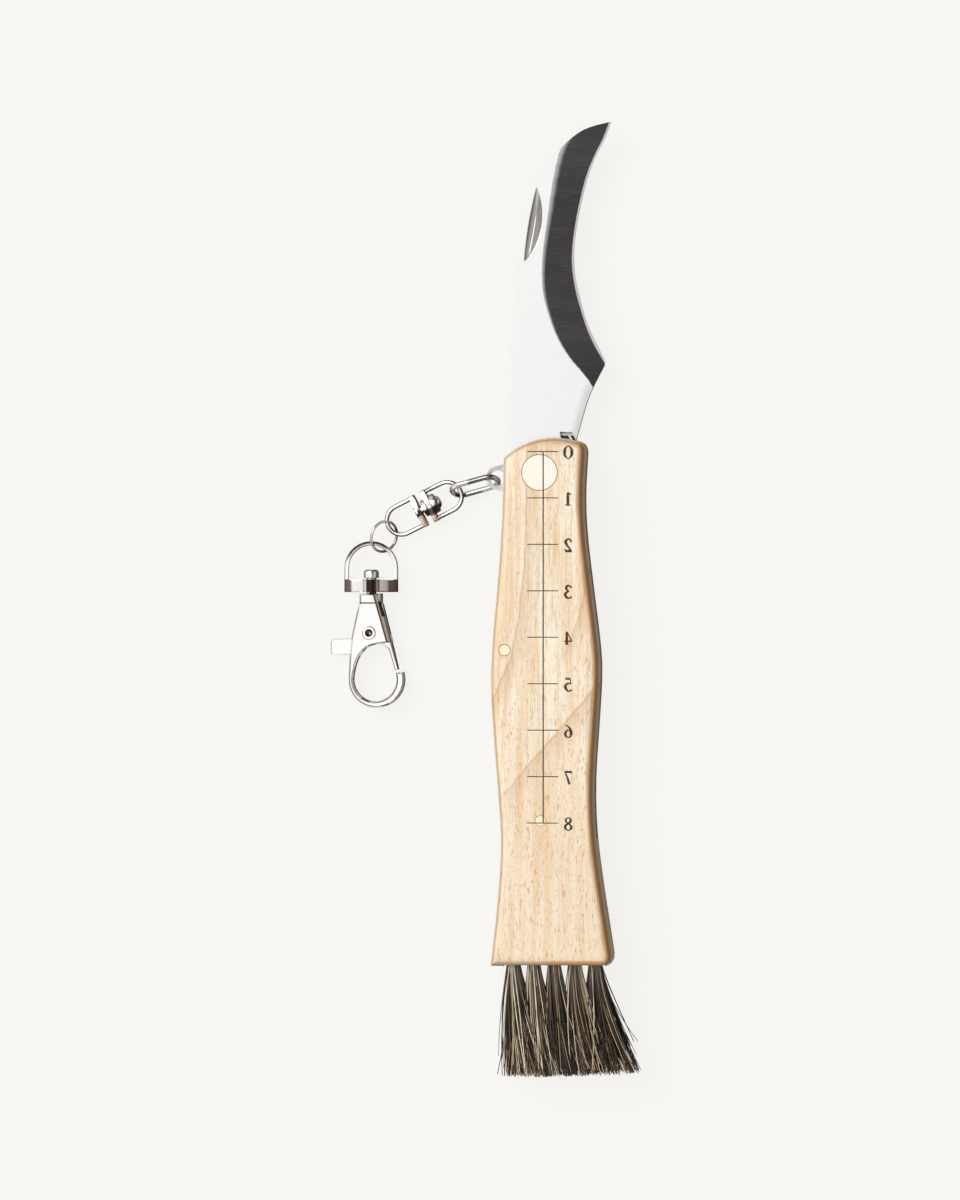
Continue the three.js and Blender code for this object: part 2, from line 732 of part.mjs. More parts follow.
function claspBail() {
  const half = claspBailWidth / 2;
  const loop = (radius) => arc(point(half, 0), radius, 90, 270, 14);
  const outer = [point(claspBailLength, half), ...loop(half), point(claspBailLength, -half)];
  const inner = [
    point(crossbarTop, half - claspBand), ...loop(half - claspBand), point(crossbarTop, claspBand - half),
  ];
  const tall = claspBandHeight / 2;
  const frame = solid(plate(outer, -tall, tall, claspBand / 4))
    .subtract(solid(plate(inner, -tall - overrun, tall + overrun)));
  const boss = solid(toChain(rod(crossbarBoss, crossbarTop - gap / 2, claspBailLength, 12)));
  const bore = solid(toChain(rod(postRadius + pinFit, crossbarTop - overrun, claspBailLength + overrun)));
  return surface(frame.add(boss).subtract(bore));
}

const claspTop = claspBailLength + gap;

function claspPost() {
  const low = crossbarTop - gap;
  const bevel = postHead / 4;
  const profile = [
    [0, low - postHeadHeight], [postHead - bevel, low - postHeadHeight],
    [postHead, low - postHeadHeight + bevel],
    [postHead, low - gap / 2], [postRadius, low - gap / 2], [postRadius, claspTop + postSink - gap],
    [0, claspTop + postSink - gap],
  ];
  return toChain(turned(profile, 16));
}

// Clasp body outline: x down the clasp, y to the gate's side, in shares of its length.
// The first points of the sides leave the collar's corners by the shoulder share.
const claspShoulderShare = 0.006;
const claspSideShare = [0.43, 0.19];
const claspBackShare = [0.42, -0.178];
const claspMouthShares = [[0.445, 0.02], [0.49, -0.068], [0.6, -0.133]];
const cheekSlotShares = [
  [0.145, -0.3], [0.56, -0.3], [0.56, -0.12], [0.47, 0.06], [0.47, 0.3], [0.145, 0.3],
];
const onClasp = (shares) => onSize(shares, claspLength, claspLength);
const [leverPivot] = onClasp([leverPinShare]);
const hookCentre = point(claspLength - hookOuter, hookOffset);
const hookInnerCentre = point(hookCentre.x, hookOffset - (hookOuter - hookInner) / 4);
const hookSteps = 20;
const hookInnerSide = arc(hookInnerCentre, hookInner, ...hookInnerArc, hookSteps);

function claspBodyPiece() {
  const half = collarWidth / 2;
  const shoulder = collarLength + claspShoulderShare * claspLength;
  const points = [
    point(0, half), point(0, -half), point(collarLength, -half), point(shoulder, -half - claspStep),
    ...onClasp([claspBackShare]), ...arc(hookCentre, hookOuter, ...hookArc, hookSteps), ...hookInnerSide,
    ...onClasp(claspMouthShares).reverse(), ...onClasp([claspSideShare]), point(shoulder, half + claspStep),
    point(collarLength, half),
  ];
  const tall = claspThickness / 2;
  const slot = plate(onClasp(cheekSlotShares), -cheekGap / 2, cheekGap / 2);
  const pinHole = rod(leverPinRadius + pinFit, -overrun - tall, overrun + tall, 16)
    .translate(leverPivot.x, leverPivot.y, 0);
  const postHole = toChain(rod(postRadius + pinFit, -overrun, postSink, 16));
  return surface(solid(plate(points, -tall, tall, claspEdge))
    .subtract(solid(slot)).subtract(solid(pinHole)).subtract(solid(postHole)))
    .translate(claspTop, 0, 0);
}

// Lever outline from the clasp's collar: the gate, the hub and the thumb tab
const gateShares = [[0.483, 0.203], [0.362, 0.168]];
const hubTopShares = [[0.285, 0.048], [0.272, -0.014], [0.302, -0.068], [0.335, -0.105]];
const tabShares = [
  [0.392, -0.17], [0.398, -0.33], [0.42, -0.355], [0.52, -0.355], [0.542, -0.33], [0.535, -0.17],
];
const hubLowShares = [[0.44, -0.05], [0.43, 0.09], [0.49, 0.158]];

function claspLever() {
  const gateEnd = hookInnerSide[0].clone().sub(point(gateGap, gateDrop));
  const rest = [...gateShares, ...hubTopShares, ...tabShares, ...hubLowShares];
  const points = [gateEnd, gateEnd.clone().add(along(gateEndHeading, gateWidth)), ...onClasp(rest)];
  const tall = leverThickness / 2;
  const bore = rod(leverPinRadius + 2 * pinFit, -overrun, overrun, 16)
    .translate(leverPivot.x, leverPivot.y, 0);
  return surface(solid(plate(points, -tall, tall, leverThickness / 8)).subtract(solid(bore)))
    .translate(claspTop, 0, 0);
}

function leverPin() {
  const tall = claspThickness / 2;
  const flange = tall + leverPinFlangeHeight;
  const profile = [
    [leverPinBore, -flange], [leverPinFlange, -flange], [leverPinFlange, -tall - pinFit],
    [leverPinRadius, -tall - pinFit], [leverPinRadius, tall + pinFit], [leverPinFlange, tall + pinFit],
    [leverPinFlange, flange], [leverPinBore, flange], [leverPinBore, -flange],
  ];
  return turned(profile, 16).translate(claspTop + leverPivot.x, leverPivot.y, 0);
}

class Coil extends THREE.Curve {
  getPoint(t) {
    const turn = 2 * Math.PI * leverSpringTurns * t;
    return new THREE.Vector3(
      leverSpringLength * t,
      leverSpringRadius * Math.cos(turn),
      leverSpringRadius * Math.sin(turn),
    );
  }
}

const curlSteps = 8; // of each turn

function leverSpring() {
  const section = new THREE.Shape(arc(point(0, 0), leverSpringWire / 2, 0, 360, 5).slice(0, -1));
  const from = claspTop + onClasp(cheekSlotShares)[0].x + gap;
  const steps = leverSpringTurns * curlSteps;
  return new THREE.ExtrudeGeometry(section, { steps, extrudePath: new Coil(), bevelEnabled: false })
    .translate(from, leverSpringShare * collarWidth, 0);
}

// Least gap between the spring's turns, on points at least half a turn apart
function leverSpringGap() {
  const points = new Coil().getPoints(leverSpringTurns * curlSteps);
  const spans = points.flatMap((a, i) => points.slice(i + curlSteps / 2).map((b) => a.distanceTo(b)));
  return Math.min(...spans) - leverSpringWire;
}

console.log(`least gap between the lever spring's turns: ${leverSpringGap().toFixed(2)} mm`);

function chain() {
  const eyeHeight = middle - linerGap / 2 - linerThickness / 2;
  const linkPitch = Math.asin((eyeHeight - linkFarHeight) / linkReach);
  const linkStart = eyeCentre.clone().add(point(0, -linkSlack));
  const linkEnd = linkStart.clone().add(along(linkHeading, linkReach * Math.cos(linkPitch)));
  const link = chainGroup('link', linkStart, eyeHeight, linkHeading, linkPitch, linkRoll);
  link.add(piece('eye_link', eyeLink(), 'nickel'));

  const swivelLength = 2 * plateEnd + swivelReach;
  const swivelPitch = Math.asin((swivelNearHeight - swivelFarHeight) / swivelLength);
  const swivelStart = linkEnd.clone().add(along(linkHeading, -swivelPlay));
  const swivelEnd = swivelStart.clone().add(along(swivelHeading, swivelLength * Math.cos(swivelPitch)));
  const swivel = chainGroup('swivel', swivelStart, swivelNearHeight, swivelHeading, swivelPitch);
  swivel.add(piece('swivel_bail_near', bail(), 'nickel'));
  swivel.add(piece('swivel_rivet', swivelRivetPiece(), 'nickel'));
  swivel.add(piece('swivel_washer', swivelWasherPiece(), 'nickel'));
  swivel.add(piece('swivel_bail_far', bail().rotateZ(Math.PI).translate(swivelLength, 0, 0), 'nickel'));

  const ringCentre = swivelEnd.clone().add(along(ringHangHeading, ringHang));
  const ring = chainGroup('ring', ringCentre, ringHeight, ringTiltHeading, -radians(ringTilt));
  ring.add(piece('jump_ring', jumpRing(), 'nickel'));

  const claspStart = ringCentre.clone().add(along(claspHangHeading, claspHang));
  const clasp = chainGroup('clasp', claspStart, claspHeight, claspHeading, 0);
  clasp.add(piece('clasp_bail', claspBail(), 'nickel'));
  clasp.add(piece('clasp_post', claspPost(), 'nickel'));
  clasp.add(piece('clasp_body', claspBodyPiece(), 'nickel'));
  clasp.add(piece('clasp_lever', claspLever(), 'nickel'));
  clasp.add(piece('lever_pin', leverPin(), 'nickel'));
  clasp.add(piece('lever_spring', leverSpring(), 'spring'));
  return [link, swivel, ring, clasp];
}

const knife = new THREE.Group();
const rowNames = ['rear', 'middle', 'front'];
knife.add(piece('handle', handle(), 'wood'));
knife.add(piece('rear_liner', liner(middle - linerGap / 2 - linerThickness, true), 'steel'));
knife.add(piece('front_liner', liner(middle + linerGap / 2, false), 'steel'));
knife.add(piece('back_spring', backSpring(), 'spring'));
knife.add(piece('blade', blade(), 'steel'));
knife.add(piece('pivot_rivet', pivotRivet(), 'brass'));
knife.add(piece('rear_washer', washer(-1), 'brass'));
knife.add(piece('front_washer', washer(1), 'brass'));
knife.add(piece('mid_pin', pin(midPin, midPinRadius), 'brass'));
knife.add(piece('tail_pin', pin(tailPin, tailPinRadius), 'brass'));
rowNames.forEach((name, row) => knife.add(piece(`bristle_row_${name}`, bristleRow(row), 'bristle')));
knife.add(...chain());

export default knife;
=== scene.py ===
import json
import math

import bmesh
import bpy
from mathutils import Matrix, Vector


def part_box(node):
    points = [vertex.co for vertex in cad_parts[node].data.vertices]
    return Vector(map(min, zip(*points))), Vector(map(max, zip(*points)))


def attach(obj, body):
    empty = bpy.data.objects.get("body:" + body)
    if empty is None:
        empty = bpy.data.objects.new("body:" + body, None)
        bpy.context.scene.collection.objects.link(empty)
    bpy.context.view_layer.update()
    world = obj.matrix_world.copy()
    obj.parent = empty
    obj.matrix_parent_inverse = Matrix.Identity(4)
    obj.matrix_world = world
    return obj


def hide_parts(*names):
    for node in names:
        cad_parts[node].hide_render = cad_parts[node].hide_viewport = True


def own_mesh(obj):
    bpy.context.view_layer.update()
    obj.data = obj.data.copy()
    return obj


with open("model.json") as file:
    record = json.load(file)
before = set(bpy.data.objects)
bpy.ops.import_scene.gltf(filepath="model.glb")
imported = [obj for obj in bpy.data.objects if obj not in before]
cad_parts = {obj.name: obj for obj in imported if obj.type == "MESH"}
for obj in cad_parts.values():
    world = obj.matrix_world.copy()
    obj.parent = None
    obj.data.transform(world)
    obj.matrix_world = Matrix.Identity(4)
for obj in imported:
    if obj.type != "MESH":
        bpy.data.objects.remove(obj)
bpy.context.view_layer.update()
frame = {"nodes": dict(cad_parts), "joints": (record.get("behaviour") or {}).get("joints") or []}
nodes = frame["nodes"]

MM = 0.001


def joint_of(name):
    return next(joint for joint in frame["joints"] if joint["name"] == name)


spin = joint_of("swivel_spin")

# The photograph's frame, on the handle's front face
PICTURE_HEIGHT = 259.46 * MM
PICTURE_CENTRE = Vector((-14.05, 22.05, 10)) * MM
CAMERA_DISTANCE = 1.2
CAMERA_TILT = math.radians(5)

# Handle, as in the CAD part
FACE_HEIGHT = 14 * MM

# Places for the materials, in millimetres: the knife's middle plane, the D-shaped bail's arc,
# the hollow pin, and along the swivel from its hinge its plates and its round ends
MIDDLE = 7.0
BAIL_CENTRE = (-38.44, 29.03)
PIN_CENTRE = (-38.787, 14.876)
NEAR_PLATE = (7.0, 8.1)
FAR_PLATE = (9.6, 10.7)
PLATE_HALF = 3.7
SWIVEL_MIDDLE = 8.85
SWIVEL_STRAIGHT = 5.65
SWIVEL_ROUND = 3.2

# CAD nodes: how they are joined, rounded and shaded
WELD = 0.001 * MM
CREASE_ANGLE = 32
BEVEL_ANGLE = 40
BEVEL_SEGMENTS = 3
FLAT_WEIGHT = 90
OUTLINE_LEVELS = 2

# Brush; shares are of a hair's length
TUFTS = 5
TUFT_PITCH = 4.4 * MM
HAIRS = 120
HAIR_LENGTH = 24.2 * MM
HAIR_HELD = 1.5 * MM
HAIR_ROOT = 0.15 * MM
HAIR_TIP = 0.075 * MM
HAIR_THICKNESSES = (0.7, 1.2)
HAIR_POINTS = 7
HAIR_SIDES = 4
SPREAD_ALONG = 4.9
SPREAD_ACROSS = 1.45
FIRST_LEAN = 0.11
LAST_LEAN = 0.15
SHORTEST_BY = 0.3
LAST_TUFT_SHORTER_BY = 0.035
STRAY_REACH = 0.09
TIP_DRIFT = (0.03, 0.012)
BOW = (0.03, 0.015)
LOCKS_PER_RADIAN = 1.3
LOCKS_APART = 9.0
LOCK_LEAN = 0.05
LOCK_TONE = 0.3
LOCK_TONE_SEED = 12
OPENING = 1.45
FIRST_SEED = 91
SEED_STEP = 20
BRUSH_CENTRE = 2.06 * MM
BRUSH_FACE = -56.7 * MM
STRIP_DEPTH = 4.3 * MM
STRIP_HEIGHT = 3.2 * MM
STRIP_PAST_TUFT = 2.15 * MM
STRIP_ROUNDING = 0.25 * MM
# Height of each row, its place along the butt from the brush's middle, and its tufts' radius
ROWS = {
    "rear": (3.5 * MM, -0.6 * MM, 1.05 * MM),
    "middle": (7 * MM, -0.3 * MM, 1.05 * MM),
    "front": (10.5 * MM, 0.0, 1.2 * MM),
}

# Chain: the turned pieces' outlines, as reach along the axis and radius in millimetres
TURN_STEPS = 32
BARREL_OUTLINE = [
    (4.85, 0), (4.88, 0.5), (5.02, 0.95), (5.25, 1.25), (5.55, 1.42), (5.75, 1.45), (5.78, 1.95),
    (5.9, 2.15), (6.2, 2.2), (6.3, 2.05), (6.4, 2.05), (6.5, 2.2), (6.8, 2.2), (6.92, 2.05),
    (6.95, 0.8), (8.15, 0.8), (8.15, 1.7), (8.25, 1.9), (8.95, 1.9), (9.05, 1.7), (9.05, 0.8),
    (10.25, 0.8), (10.25, 1.45), (10.35, 1.65), (10.75, 1.65), (10.95, 1.35), (11.0, 0)]
PIN_CORE_OUTLINE = [(0.9, 0), (0.9, 0.74), (3.2, 0.74), (3.0, 0.5), (2.9, 0)]

# Coil spring in the clasp
COIL_WIRE = 0.26 * MM
COIL_RADIUS = 0.62 * MM
COIL_OPEN_TURNS = 3.0
COIL_CLOSED_TURNS = 2.0
COIL_THICKNESS = 0.48
COIL_POINTS = 100
COIL_SIDES = 8

# Printed rule
RULE_X = -0.05 * MM
RULE_TOP = 54.03 * MM
RULE_STEP = 10 * MM
RULE_STEPS = 8
RULE_LINE = 0.27 * MM
TICK_LEFT = -3.5 * MM
TICK_RIGHT = 3.2 * MM
TICK_WIDTH = 0.2 * MM
DIGIT_X = 5.35 * MM
DIGIT_HEIGHT = 2.9 * MM
DIGIT_BELOW_TICK = 0.2 * MM
DIGIT_MIDDLE = 0.28
DIGIT_WIDTH = 1.1
STROKE_STEPS = 6
PEN = 1.3
INK = 0.015 * MM
LINE_INK = 2.4 * INK
STROKE_OVER_STROKE = 0.15

# Floor
FLOOR_SIZE = 3.0
FLOOR_DROP = 0.02 * MM
FLOOR_PLAIN = 0.92
BACKGROUND = (248, 247, 243)


# Node trees

class Wire:
    """One socket's value in a node tree, so that sums on it read as Python."""

    def __init__(self, board, socket):
        self.board, self.socket = board, socket

    def __add__(self, other):
        return self.board.math("ADD", self, other)

    def __radd__(self, other):
        return self.board.math("ADD", other, self)

    def __sub__(self, other):
        return self.board.math("SUBTRACT", self, other)

    def __rsub__(self, other):
        return self.board.math("SUBTRACT", other, self)

    def __mul__(self, other):
        return self.board.math("MULTIPLY", self, other)

    def __rmul__(self, other):
        return self.board.math("MULTIPLY", other, self)

    def __truediv__(self, other):
        return self.board.math("DIVIDE", self, other)

    def __neg__(self):
        return self.board.math("MULTIPLY", self, -1.0)


class Board:
    """A node tree being wired."""

    def __init__(self, tree):
        self.tree = tree

    def add(self, kind, settings=None, sockets=None):
        node = self.tree.nodes.new(kind)
        for name, value in (settings or {}).items():
            if name == "stops":
                ramp = node.color_ramp
                while len(ramp.elements) < len(value):
                    ramp.elements.new(1.0)
                for element, (place, colour) in zip(ramp.elements, value):
                    element.position = place
                    element.color = colour
            else:
                setattr(node, name, value)
        for key, value in (sockets or {}).items():
            if isinstance(value, Wire):
                self.tree.links.new(value.socket, node.inputs[key])
            else:
                node.inputs[key].default_value = value
        return node

    def out(self, kind, settings=None, sockets=None, socket=0):
        return Wire(self, self.add(kind, settings, sockets).outputs[socket])

    def math(self, operation, *values):
        return self.out("ShaderNodeMath", {"operation": operation}, dict(enumerate(values)))

    def stretch(self, vector, scales):
        return self.out("ShaderNodeVectorMath", {"operation": "MULTIPLY"}, {0: vector, 1: scales})

    def noise(self, vector, scale, detail=2.0, roughness=0.5, distortion=0.0):
        return self.out("ShaderNodeTexNoise", None, {
            "Vector": vector, "Scale": scale, "Detail": detail, "Roughness": roughness,
            "Distortion": distortion})

    def between(self, value, low, high, start=0.0, end=1.0):
        """value from low to high, smoothly, as start to end."""
        return self.out("ShaderNodeMapRange", {"interpolation_type": "SMOOTHSTEP"}, {
            0: value, 1: low, 2: high, 3: start, 4: end})

    def within(self, value, low, high, soft=0.05):
        """1 from low to high, falling to 0 over soft on both sides."""
        falling = self.between(value, high, high + soft, 1.0, 0.0)
        return self.between(value, low - soft, low) * falling

    def distance(self, x, y, centre):
        dx, dy = x - centre[0], y - centre[1]
        return self.math("SQRT", dx * dx + dy * dy)

    def blend(self, factor, a, b):
        """Colour a where factor is 0, b where it is 1."""
        return self.out("ShaderNodeMix", {"data_type": "RGBA"}, {0: factor, 6: a, 7: b}, 2)

    def ramp(self, value, *stops):
        """A colour for each value, from stops of a place and a colour of the photograph's kind."""
        stops = [(place, srgb(*tone)) for place, *tone in stops]
        return self.out("ShaderNodeValToRGB", {"stops": stops}, {0: value})


def srgb(r, g, b):
    """A colour of the photograph's kind, 0 to 255, as linear values with alpha."""
    def linear(v):
        v /= 255
        return v / 12.92 if v <= 0.04045 else ((v + 0.055) / 1.055) ** 2.4
    return (linear(r), linear(g), linear(b), 1.0)


def finish_of(name):
    """A new material, its board and the object's own coordinates in millimetres."""
    material = bpy.data.materials.new(name)
    material.use_nodes = True
    material.node_tree.nodes.clear()
    board = Board(material.node_tree)
    coords = board.add("ShaderNodeTexCoord").outputs["Object"]
    place = board.stretch(Wire(board, coords), (1000, 1000, 1000))
    return material, board, place


def surface(board, **sockets):
    shader = board.out("ShaderNodeBsdfPrincipled", None, {
        name.replace("_", " "): value for name, value in sockets.items()})
    board.add("ShaderNodeOutputMaterial", None, {"Surface": shader})


def bump(board, height, distance, strength):
    return board.out("ShaderNodeBump", None, {
        "Strength": strength, "Distance": distance, "Height": height})


def axis(board, vector, which):
    return board.out("ShaderNodeSeparateXYZ", None, {0: vector}, which)


def axes(board, vector):
    return [axis(board, vector, which) for which in range(3)]


def box_middle(node):
    """The middle of a CAD node's box, in millimetres."""
    low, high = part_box(node)
    return [(a + c) / 2 / MM for a, c in zip(low, high)]


# Materials

def make_wood():
    material, b, p = finish_of("pale_wood")
    x, y, z = axes(b, p)
    wander = b.noise(b.stretch(p, (0.5, 0.12, 0.5)), 1.0, 2.0) - 0.5
    upper = b.between(y, -15.0, 25.0)

    broad = b.noise(b.stretch(p, (0.42, 0.022, 0.35)), 1.0, 3.0, 0.6, 0.4)
    fine = b.noise(b.stretch(p, (2.4, 0.075, 2.2)), 1.0, 4.0, 0.7, 0.3)
    threads = b.noise(b.stretch(p, (5.5, 0.14, 5.5)), 1.0, 2.0, 0.6)
    pores = b.noise(b.stretch(p, (3.6, 0.5, 3.6)), 1.0, 2.0, 0.65)
    flecks = b.noise(b.stretch(p, (6.5, 0.95, 6.5)), 1.0, 1.0, 0.5)

    def growth_line(off, width, fade):
        """A thin dark line where off is 0, fading out on its positive side."""
        off = off + wander * 1.4
        line = b.between(b.math("ABSOLUTE", off), 0.0, width, 1.0, 0.0)
        late = b.between(off, 0.0, fade, 1.0, 0.0) * b.between(off, -0.05, 0.1)
        return line * 0.5 + late * 0.5

    bend = b.math("EXPONENT", (y - 2.0) / -13.0)
    first = growth_line(x + 3.4 + bend * 7.0, 0.35, 4.5)
    bend_right = b.math("EXPONENT", (y - 8.0) / -15.0)
    second = growth_line(x - 12.0 + bend_right * 9.0, 0.4, 3.0) * b.between(y, 4.0, 14.0)
    third = growth_line((x - y * 0.86 - 8.4) * 0.75, 0.45, 5.5) * b.between(y, -30.0, -12.0)
    lines = b.math("MAXIMUM", b.math("MAXIMUM", first, second * 0.8), third * 0.9)
    lines = b.math("MINIMUM", lines, 1.0)

    colour = b.blend(b.between(broad, 0.36, 0.68), srgb(255, 242, 219), srgb(244, 216, 179))
    colour = b.blend(b.between(y, 5.0, -30.0) * 0.3, colour, srgb(236, 206, 168))
    streaks = b.between(fine, 0.5, 0.72) * (0.4 + upper * 0.3)
    colour = b.blend(streaks, colour, srgb(224, 184, 134))
    colour = b.blend(b.between(threads, 0.6, 0.72) * upper * 0.7, colour, srgb(208, 160, 108))
    colour = b.blend(lines * 0.8, colour, srgb(210, 164, 108))
    colour = b.blend(b.between(pores, 0.57, 0.69) * (0.75 - upper * 0.35), colour,
                     srgb(208, 163, 118))
    colour = b.blend(b.between(flecks, 0.6, 0.72) * 0.4, colour, srgb(190, 142, 94))
    ends = b.math("MAXIMUM", b.between(y, 53.5, 57.0), b.between(y, -54.3, -57.0))
    colour = b.blend(ends * 0.35, colour, srgb(206, 166, 122))
    # Dark ring round each pin: its joint in the wood, with painted shadow in the gap
    for pin, ring in (("pivot_rivet", 0.8), ("mid_pin", 0.8), ("tail_pin", 0.3)):
        low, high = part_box(pin)
        radius = (high[0] - low[0]) / 2 / MM
        pin_gap_shadow = b.within(b.distance(x, y, box_middle(pin)), radius, radius + 0.12)
        colour = b.blend(pin_gap_shadow * ring, colour, srgb(120, 90, 60))
    depth = b.math("ABSOLUTE", z - MIDDLE)
    # Painted shade in deep tan on the edge roundings and upper side walls, far stronger on the
    # right side than the left, and weaker at the crown
    edge = b.between(depth, 7.0, 6.75) * b.between(depth, 4.6, 5.3)
    edge = edge * b.between(x, -4.0, 4.0, 0.12, 0.9)
    crown = b.between(y, 51.5, 54.0) * b.between(x, 8.0, 6.0)
    colour = b.blend(edge * (1.0 - crown * 0.5), colour, srgb(226, 172, 116))
    # Painted shade: a dark line along the side walls just under the face
    colour = b.blend(b.within(z, 12.4, 12.9, 0.5) * 0.4, colour, srgb(140, 98, 62))
    # Painted shade on the rear half of the side walls, in dark brown
    rear = b.between(z, 5.4, 4.2) * b.between(z, 0.6, 1.4)
    colour = b.blend(rear * 0.85, colour, srgb(96, 74, 58))
    relief = fine * 0.4 - b.between(pores, 0.57, 0.69) * 0.6 - flecks * 0.2
    surface(b, Base_Color=colour, Roughness=b.between(broad, 0.2, 0.8, 0.46, 0.6),
            Specular_IOR_Level=0.2, Normal=bump(b, relief, 0.00006, 0.6))
    return material


def make_blade():
    material, b, p = finish_of("ground_blade_steel")
    x, y, z = axes(b, p)
    depth = b.math("ABSOLUTE", z - MIDDLE)
    soft = b.between(y, 70.0, 112.0, 0.96, 0.84)
    ground = b.between(depth, soft, 0.998, 1.0, 0.0)
    # Painted highlight along the micro-bevel at the cutting edge
    edge_highlight = b.between(depth, 0.165, 0.185, 1.0, 0.0)
    brushed = b.noise(b.stretch(p, (0.16, 13.0, 2.0)), 1.0, 3.0, 0.7)
    broad = b.noise(b.stretch(p, (0.08, 0.35, 0.3)), 1.0, 2.0)
    specks = b.noise(p, 1.6, 1.0)
    # Painted shade on the flat along the edge by the ricasso
    heel_shade = b.between(x - 6.76 - (y - 58.1) * 0.287, -2.0, -0.1) * b.within(y, 56.0, 67.0, 3.0)
    flat = b.blend(b.between(brushed, 0.3, 0.75) * 0.3, srgb(222, 222, 221), srgb(210, 210, 209))
    flat = b.blend(b.between(specks, 0.74, 0.79) * 0.5, flat, srgb(150, 146, 144))
    flat = b.blend(heel_shade * 0.55, flat, srgb(176, 175, 174))
    # The ground bevel's dark grey is a painted dark reflection
    dark = b.blend(b.between(brushed, 0.3, 0.72), srgb(72, 70, 71), srgb(94, 91, 91))
    dark = b.blend(b.between(broad, 0.35, 0.65) * 0.3, dark, srgb(62, 60, 62))
    colour = b.blend(ground, flat, dark)
    colour = b.blend(edge_highlight * ground, colour, srgb(220, 215, 217))

    # Nail nick: painted light and shade across its slopes, darker towards its lower end, and a
    # painted highlight line down it
    from_chord = x + 4.69 - (y - 95.0) * 0.171
    right_of_nick = -0.1 + b.math("MINIMUM", (y - 101.0) * 0.2, 0.0)
    nick = ground * b.within(y, 94.6, 111.8) * b.between(x - right_of_nick, 0.05, 0.0)
    nick_shading = b.blend(b.between(from_chord, 0.5, 1.0), srgb(184, 180, 176), srgb(122, 118, 115))
    nick_shading = b.blend(b.between(from_chord, 1.7, 2.5), nick_shading, srgb(96, 92, 90))
    nick_shading = b.blend(b.between(from_chord, 0.25, -0.25), nick_shading, srgb(104, 100, 97))
    nick_shading = b.blend(b.between(y, 99.0, 95.5) * 0.7, nick_shading, srgb(88, 84, 82))
    line = b.within(from_chord, 0.8, 0.9, 0.1) * b.within(y, 98.0, 104.0, 2.0)
    nick_shading = b.blend(line, nick_shading, srgb(236, 233, 230))
    colour = b.blend(nick, colour, nick_shading)
    # Kick notch: painted shadow, with painted highlights on its step and slanted edge
    notch_shading = ground * b.within(y, 55.5, 58.9) * b.within(x, 2.4, 7.4)
    slanted = b.within(x + (y - 57.0) * 0.55, 5.2, 5.6, 0.1)
    glint = b.math("MAXIMUM", b.within(y, 57.7, 58.3), slanted)
    colour = b.blend(notch_shading, colour, b.blend(glint, srgb(34, 32, 32), srgb(240, 238, 236)))
    # Less metallic where shade and highlights are painted, so that their colours show
    dull = b.math("MINIMUM", nick + notch_shading + edge_highlight * ground, 1.0)
    surface(b, Base_Color=colour, Metallic=1.0 - dull * 0.75, Roughness=0.3 + ground * 0.06,
            Normal=bump(b, brushed, 0.000006, 0.3))
    return material


def make_steel(name, pale, dull, roughness):
    """Rolled or stamped steel with fine lines along it."""
    material, b, p = finish_of(name)
    rolled = b.noise(b.stretch(p, (0.3, 0.3, 6.0)), 1.0, 3.0, 0.7)
    broad = b.noise(p, 0.35, 2.0)
    colour = b.blend(b.between(rolled, 0.3, 0.75), pale, dull)
    colour = b.blend(b.between(broad, 0.4, 0.7) * 0.3, colour, dull)
    surface(b, Base_Color=colour, Metallic=1.0,
            Roughness=b.between(rolled, 0.2, 0.8, roughness - 0.06, roughness + 0.08),
            Normal=bump(b, rolled, 0.00001, 0.4))
    return material


def make_plating(name, marks=None, metallic=1.0):
    """Bright plating; marks paints shade, highlights and tones on it, from the place in
    millimetres.
    """
    material, b, p = finish_of(name)
    haze = b.noise(p, 0.9, 3.0)
    dents = b.noise(p, 1.7, 1.0)
    colour = b.blend(b.between(haze, 0.4, 0.75) * 0.3, srgb(250, 249, 246), srgb(222, 215, 206))
    if marks:
        colour = marks(b, *axes(b, p), colour)
    surface(b, Base_Color=colour, Metallic=metallic,
            Roughness=b.between(haze, 0.3, 0.8, 0.08, 0.18), Normal=bump(b, dents, 0.00001, 0.4))
    return material


def inside_clasp(x, y):
    """How far a point lies inside the slanted line of the clasp's side."""
    return x + 37.38 - (21.26 - y) * 0.282


def body_shading(b, x, y, z, colour):
    """The clasp body: painted light and shade in bands down its side beside the gate, painted
    shadow in a corner, and painted shade in the groove under its collar.
    """
    inside = inside_clasp(x, y)
    front = b.between(z, 4.2, 4.5)
    side = b.within(y, 12.9, 23.6) * front
    wear_and_shading = b.ramp(
        inside * 0.4, (0.0, 84, 72, 66), (0.12, 84, 72, 66), (0.2, 160, 148, 138),
        (0.46, 150, 138, 128), (0.56, 226, 222, 216), (0.72, 110, 98, 90))
    colour = b.blend(side * b.between(inside, -0.08, 0.04), colour, wear_and_shading)
    corner = b.within(y, 18.6, 21.6, 0.3) * b.within(inside, 0.7, 1.3, 0.15) * front
    colour = b.blend(corner, colour, srgb(48, 38, 34))
    groove = b.within(y, 21.3, 21.5, 0.1) * b.between(inside, 0.1, -0.1)
    return b.blend(groove, colour, srgb(92, 84, 80))


